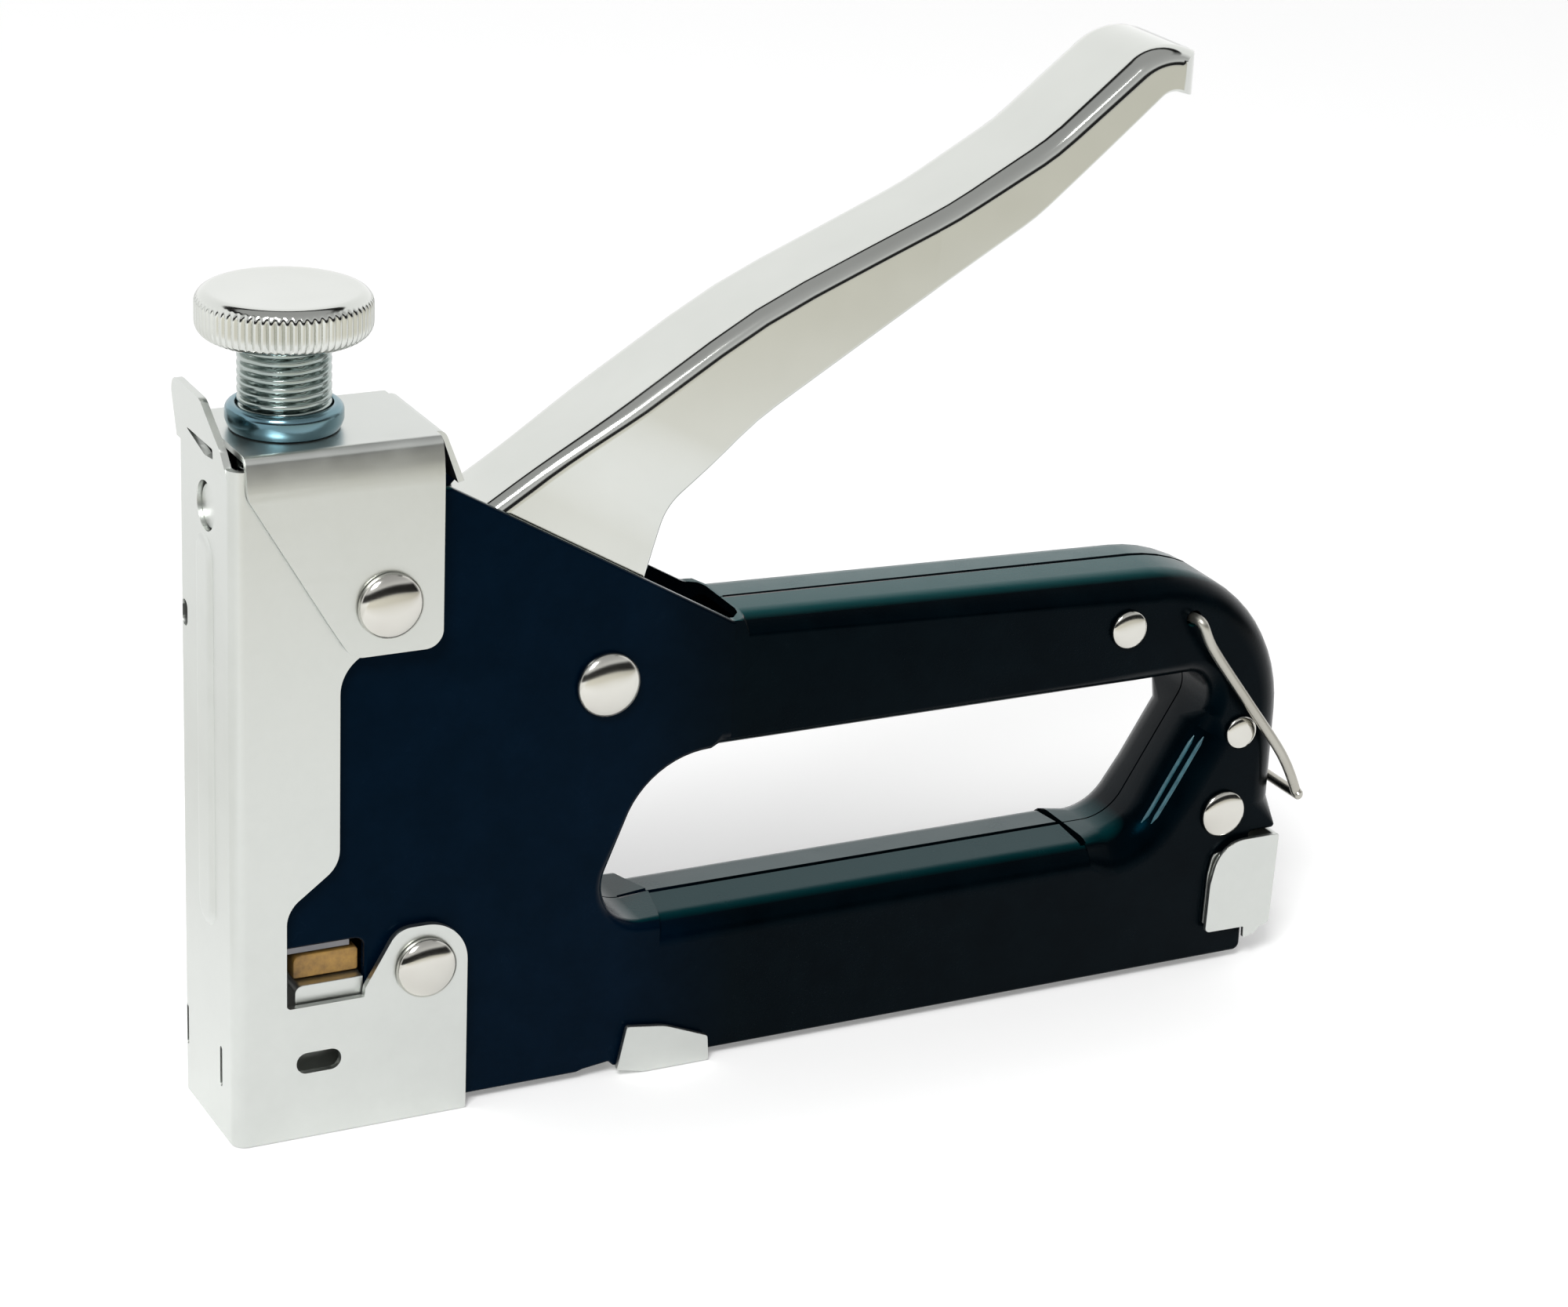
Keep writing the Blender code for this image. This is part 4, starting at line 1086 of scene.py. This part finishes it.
def make_power_spring(look):
    """The drive spring in two lengths, upper and lower, split at the share SPRING_SPLIT; on the real spring
    the upper part shortens with the seat, the lower with the striker.
    """
    low, high = box_mm("power_spring")
    centre = ((low[0] + high[0]) / 2.0 - NOSE_FRONT, 0.0)
    radius = (high[1] - low[1]) / 2.0 - SPRING_WIRE
    foot = low[2] + SPRING_WIRE
    rise = high[2] - SPRING_WIRE - foot
    joins = (0.0, SPRING_SPLIT, 1.0)
    for index, name in enumerate(("lower_coils", "upper_coils")):
        first, last = joins[index:index + 2]
        steps = round((last - first) * SPRING_TURNS * 24)
        path = []
        for step in range(steps + 1):
            share = first + (last - first) * step / steps
            angle = 2.0 * math.pi * SPRING_TURNS * share
            path.append((centre[0] + radius * math.cos(angle), radius * math.sin(angle), foot + rise * share))
        coils = tube(name, path, SPRING_WIRE, sides=12)
        shade(coils, 50.0)
        coils.data.materials.append(look)
        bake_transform(coils)
        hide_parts("power_spring")


def make_bail():
    """The bent wire: an arm on each side of the body and a cross wire behind it."""
    half = BAIL_HALF
    near = [(x, -half, z) for x, z in BAIL_ARM]
    far = [(x, half, z) for x, z in reversed(BAIL_ARM)]
    cross = [(BAIL_CROSS[0], side * (half - BAIL_CORNER), BAIL_CROSS[1]) for side in (-1, 1)]
    start = (BAIL_PIVOT[0], -SHELL_HALF + 1.0, BAIL_PIVOT[1])
    end = (BAIL_PIVOT[0], SHELL_HALF - 1.0, BAIL_PIVOT[1])
    bail = tube("lock_wire", smooth_path([start, *near, *cross, *far, end], 8), BAIL_RADIUS, sides=20)
    shade(bail, 50.0)
    return bail


def make_folded(name, side, half, inner, edge=0.2):
    """A plate folded round the body: an outline across the tool with its inside cut away."""
    piece = plate(name, side, -half, half)
    carve(piece, block("inside", *inner))
    soften(piece, edge)
    shade(piece)
    return piece


def make_buffer(name, corners, half, edge):
    """A block in the nose's window."""
    piece = plate(name, corners, -half, half)
    soften(piece, edge)
    shade(piece)
    return piece


# ------------------------ studio

def make_floor():
    mesh = bpy.data.meshes.new("studio_floor")
    half = 4.0
    level = -0.0002
    corners = [(-half, -half, level), (half, -half, level), (half, half, level), (-half, half, level)]
    mesh.from_pydata(corners, [], [(0, 1, 2, 3)])
    floor = bpy.data.objects.new("studio_floor", mesh)
    bpy.context.scene.collection.objects.link(floor)
    nodes = Nodes("pale_floor")
    split = nodes.add("ShaderNodeSeparateXYZ")
    nodes.link(nodes.place, split.inputs["Vector"])
    front = nodes.span(split.outputs["Y"], 1.0, 0.0, -0.36, -0.15)
    aside = nodes.add("ShaderNodeVectorMath", operation="DOT_PRODUCT")
    nodes.link(nodes.place, aside.inputs[0])
    aside.inputs[1].default_value = (0.894, -0.447, 0.0)
    left = nodes.span(aside.outputs["Value"], 1.0, 0.0, -0.157, -0.122)
    near = nodes.span(split.outputs["Y"], 1.0, 0.0, 0.14, 0.26)
    beside = nodes.add("ShaderNodeMath", operation="MULTIPLY")
    nodes.link(left, beside.inputs[0])
    nodes.link(near, beside.inputs[1])
    tone = nodes.mix(front, (0.9, 0.9, 0.9), (0.62, 0.60, 0.535))
    tone = nodes.mix(beside.outputs["Value"], tone, (0.76, 0.76, 0.745))
    nodes.link(tone, nodes.shader.inputs["Base Color"])
    nodes.link(tone, nodes.shader.inputs["Emission Color"])
    nodes.shader.inputs["Roughness"].default_value = 0.9
    nodes.shader.inputs["Emission Strength"].default_value = 0.22
    nodes.shader.inputs["Specular IOR Level"].default_value = 0.0
    mesh.materials.append(nodes.material)


def make_world():
    """A white backdrop behind, a grey ceiling with a dark gap before it, and a dark room in front."""
    world = bpy.data.worlds.new("studio")
    bpy.context.scene.world = world
    world.use_nodes = True
    tree = world.node_tree
    place = tree.nodes.new("ShaderNodeTexCoord")
    split = tree.nodes.new("ShaderNodeSeparateXYZ")
    tree.links.new(place.outputs["Generated"], split.inputs["Vector"])
    front = [(0.0, 0.6), (0.499, 0.6), (0.5, 0.02), (0.64, 0.02), (0.70, 0.75), (0.82, 0.55), (1.0, 0.45)]
    behind = [(0.0, 0.9), (0.499, 0.9), (0.5, 1.2), (0.855, 1.12)]
    behind += [(0.868, 0.01), (0.912, 0.01), (0.927, 0.45)]
    sides = []
    for stops in (front, behind):
        height = tree.nodes.new("ShaderNodeMapRange")
        height.inputs["From Min"].default_value = -1.0
        tree.links.new(split.outputs["Z"], height.inputs["Value"])
        ramp = tree.nodes.new("ShaderNodeValToRGB")
        while len(ramp.color_ramp.elements) < len(stops):
            ramp.color_ramp.elements.new(0.5)
        for element, (position, grey) in zip(ramp.color_ramp.elements, stops):
            element.position = position
            element.color = (grey, grey, grey, 1.0)
        tree.links.new(height.outputs["Result"], ramp.inputs["Fac"])
        sides.append(ramp.outputs["Color"])
    facing = tree.nodes.new("ShaderNodeMapRange")
    facing.inputs["From Min"].default_value = -0.3
    facing.inputs["From Max"].default_value = 0.1
    tree.links.new(split.outputs["Y"], facing.inputs["Value"])
    mix = tree.nodes.new("ShaderNodeMix")
    mix.data_type = "RGBA"
    tree.links.new(facing.outputs["Result"], mix.inputs[0])
    tree.links.new(sides[0], mix.inputs[6])
    tree.links.new(sides[1], mix.inputs[7])
    background = tree.nodes["Background"]
    background.inputs["Strength"].default_value = 1.0
    tree.links.new(mix.outputs[2], background.inputs["Color"])


def make_light(name, place, target, size, power):
    lamp = bpy.data.lights.new(name, "AREA")
    lamp.shape = "RECTANGLE"
    lamp.size, lamp.size_y = size
    lamp.energy = power
    light = bpy.data.objects.new(name, lamp)
    bpy.context.scene.collection.objects.link(light)
    light.location = place
    light.rotation_euler = (Vector(target) - Vector(place)).to_track_quat("-Z", "Y").to_euler()


def make_camera():
    lens = bpy.data.cameras.new("view")
    lens.lens = CAMERA_LENS
    lens.sensor_width = 36.0
    lens.clip_start = 0.01
    camera = bpy.data.objects.new("view", lens)
    bpy.context.scene.collection.objects.link(camera)
    right = Vector(CAMERA_RIGHT)
    up = Vector(CAMERA_UP)
    back = right.cross(up)
    turn = Matrix((right, up, back)).transposed().to_4x4()
    x, y, z = CAMERA_PLACE
    spot = Vector(((x + NOSE_FRONT) * MM, y * MM, z * MM))
    camera.matrix_world = Matrix.Translation(spot) @ turn
    bpy.context.scene.camera = camera


def make_studio():
    make_floor()
    make_world()
    make_light("key", (-0.94, -1.12, 1.52), (0.0, 0.0, 0.08), (0.68, 0.68), 31.0)
    bpy.context.scene.view_settings.view_transform = "Standard"


# ------------------------ build

def build():
    make_camera()
    make_studio()

    paint = make_paint()
    bead_highlight = make_bead_highlight()
    zinc = sheet_metal("zinc_plate", (0.645, 0.665, 0.64), (0.605, 0.625, 0.60), 0.34)
    chrome = plated("chrome", (0.635, 0.65, 0.62), (0.60, 0.615, 0.585), 0.09)
    nickel = plated("nickel", (0.66, 0.655, 0.61), (0.58, 0.565, 0.52), 0.12)
    wire = plated("wire", (0.50, 0.49, 0.44), (0.40, 0.385, 0.34), 0.28)
    # The collar's blue zinc: the blue tint is the plating's own, and its darkness is painted shade for the
    # dark reflections on it.
    blue_zinc = plated("blue_zinc", (0.22, 0.34, 0.37), (0.12, 0.22, 0.27), 0.22)
    pale_zinc = plated("pale_zinc", (0.47, 0.51, 0.48), (0.33, 0.39, 0.38), 0.22)
    steel = sheet_metal("oiled_steel", (0.25, 0.25, 0.26), (0.17, 0.17, 0.18), 0.4)
    spring_steel = plated("spring_steel", (0.40, 0.40, 0.41), (0.30, 0.30, 0.31), 0.28)
    amber = make_amber()

    make_power_spring(spring_steel)
    for side, name, node in ((-1, "right_pressing", "right_shell"), (1, "left_pressing", "left_shell")):
        shell = dress(make_shell(name, side), "frame", "navy_paint", paint, node)
        # The shell's second material is the painted highlight on the raised lines.
        shell.data.materials.append(bead_highlight)
    dress(make_nose(), "frame", "zinc_sheet", zinc, "nose_channel")
    dress(make_cap(), "frame", "zinc_sheet", zinc, "top_cap")
    for name in RIVETS:
        dress(make_rivet(name), "frame", "nickel_rivet", nickel, name)
    dress(make_handle(), "handle", "chrome_plate", chrome, "handle_cover")
    dress(make_knob(), "knob", "chrome_plate", chrome, "tension_knob")
    dress(make_screw(), "knob", "blue_zinc", pale_zinc, "tension_screw")
    dress(make_bushing(), "frame", "blue_zinc", blue_zinc, "tension_bushing")
    dress(make_bail(), "bail", "bail_wire", wire, "wire_bail")
    clip_inner = ((50.0, -9.75, 0.9), (80.0, 9.75, 20.0))
    dress(make_folded("foot_plate", CLIP_SIDE, 10.6, clip_inner), "frame", "zinc_sheet", zinc, "foot_clip")
    latch_inner = ((150.0, -10.2, 0.0), (169.6, 10.2, 30.0))
    latch = make_folded("latch_plate", LATCH_SIDE, 10.9, latch_inner)
    dress(latch, "magazine", "zinc_sheet", zinc, "rear_latch")
    catch_inner = ((150.0, -9.6, 0.0), (166.7, 9.6, 30.0))
    catch = make_folded("catch_plate", CATCH_SIDE, 9.95, catch_inner, 0.1)
    dress(catch, "magazine", "zinc_sheet", zinc, "latch_catch")
    bumper = [(9.6, 23.2, 0.4), (9.6, 26.7, 1.2), (19.2, 26.7, 0.6), (19.2, 23.2, 0.4)]
    dress(make_buffer("amber_block", bumper, 8.0, 0.3), "frame", "amber_polyurethane", amber, "bumper")
    seat = [(9.3, 17.9, 0.2), (9.3, 22.9, 1.2), (19.4, 22.9, 0.4), (19.4, 17.9, 0.2)]
    dress(make_buffer("buffer_block", seat, 9.6, 0.25), "frame", "zinc_sheet", zinc, "bumper_seat")

    kept = {
        steel: ("spring_seat", "striker", "lifting_lever", "lever_pin", "staple_pusher"),
        spring_steel: ("driver_blade", "handle_return_spring", "pusher_spring"),
        zinc: ("magazine_channel", "pusher_rail"),
    }
    for look, names in kept.items():
        for name in names:
            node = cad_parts[name]
            node.data.materials.clear()
            node.data.materials.append(look)


build()
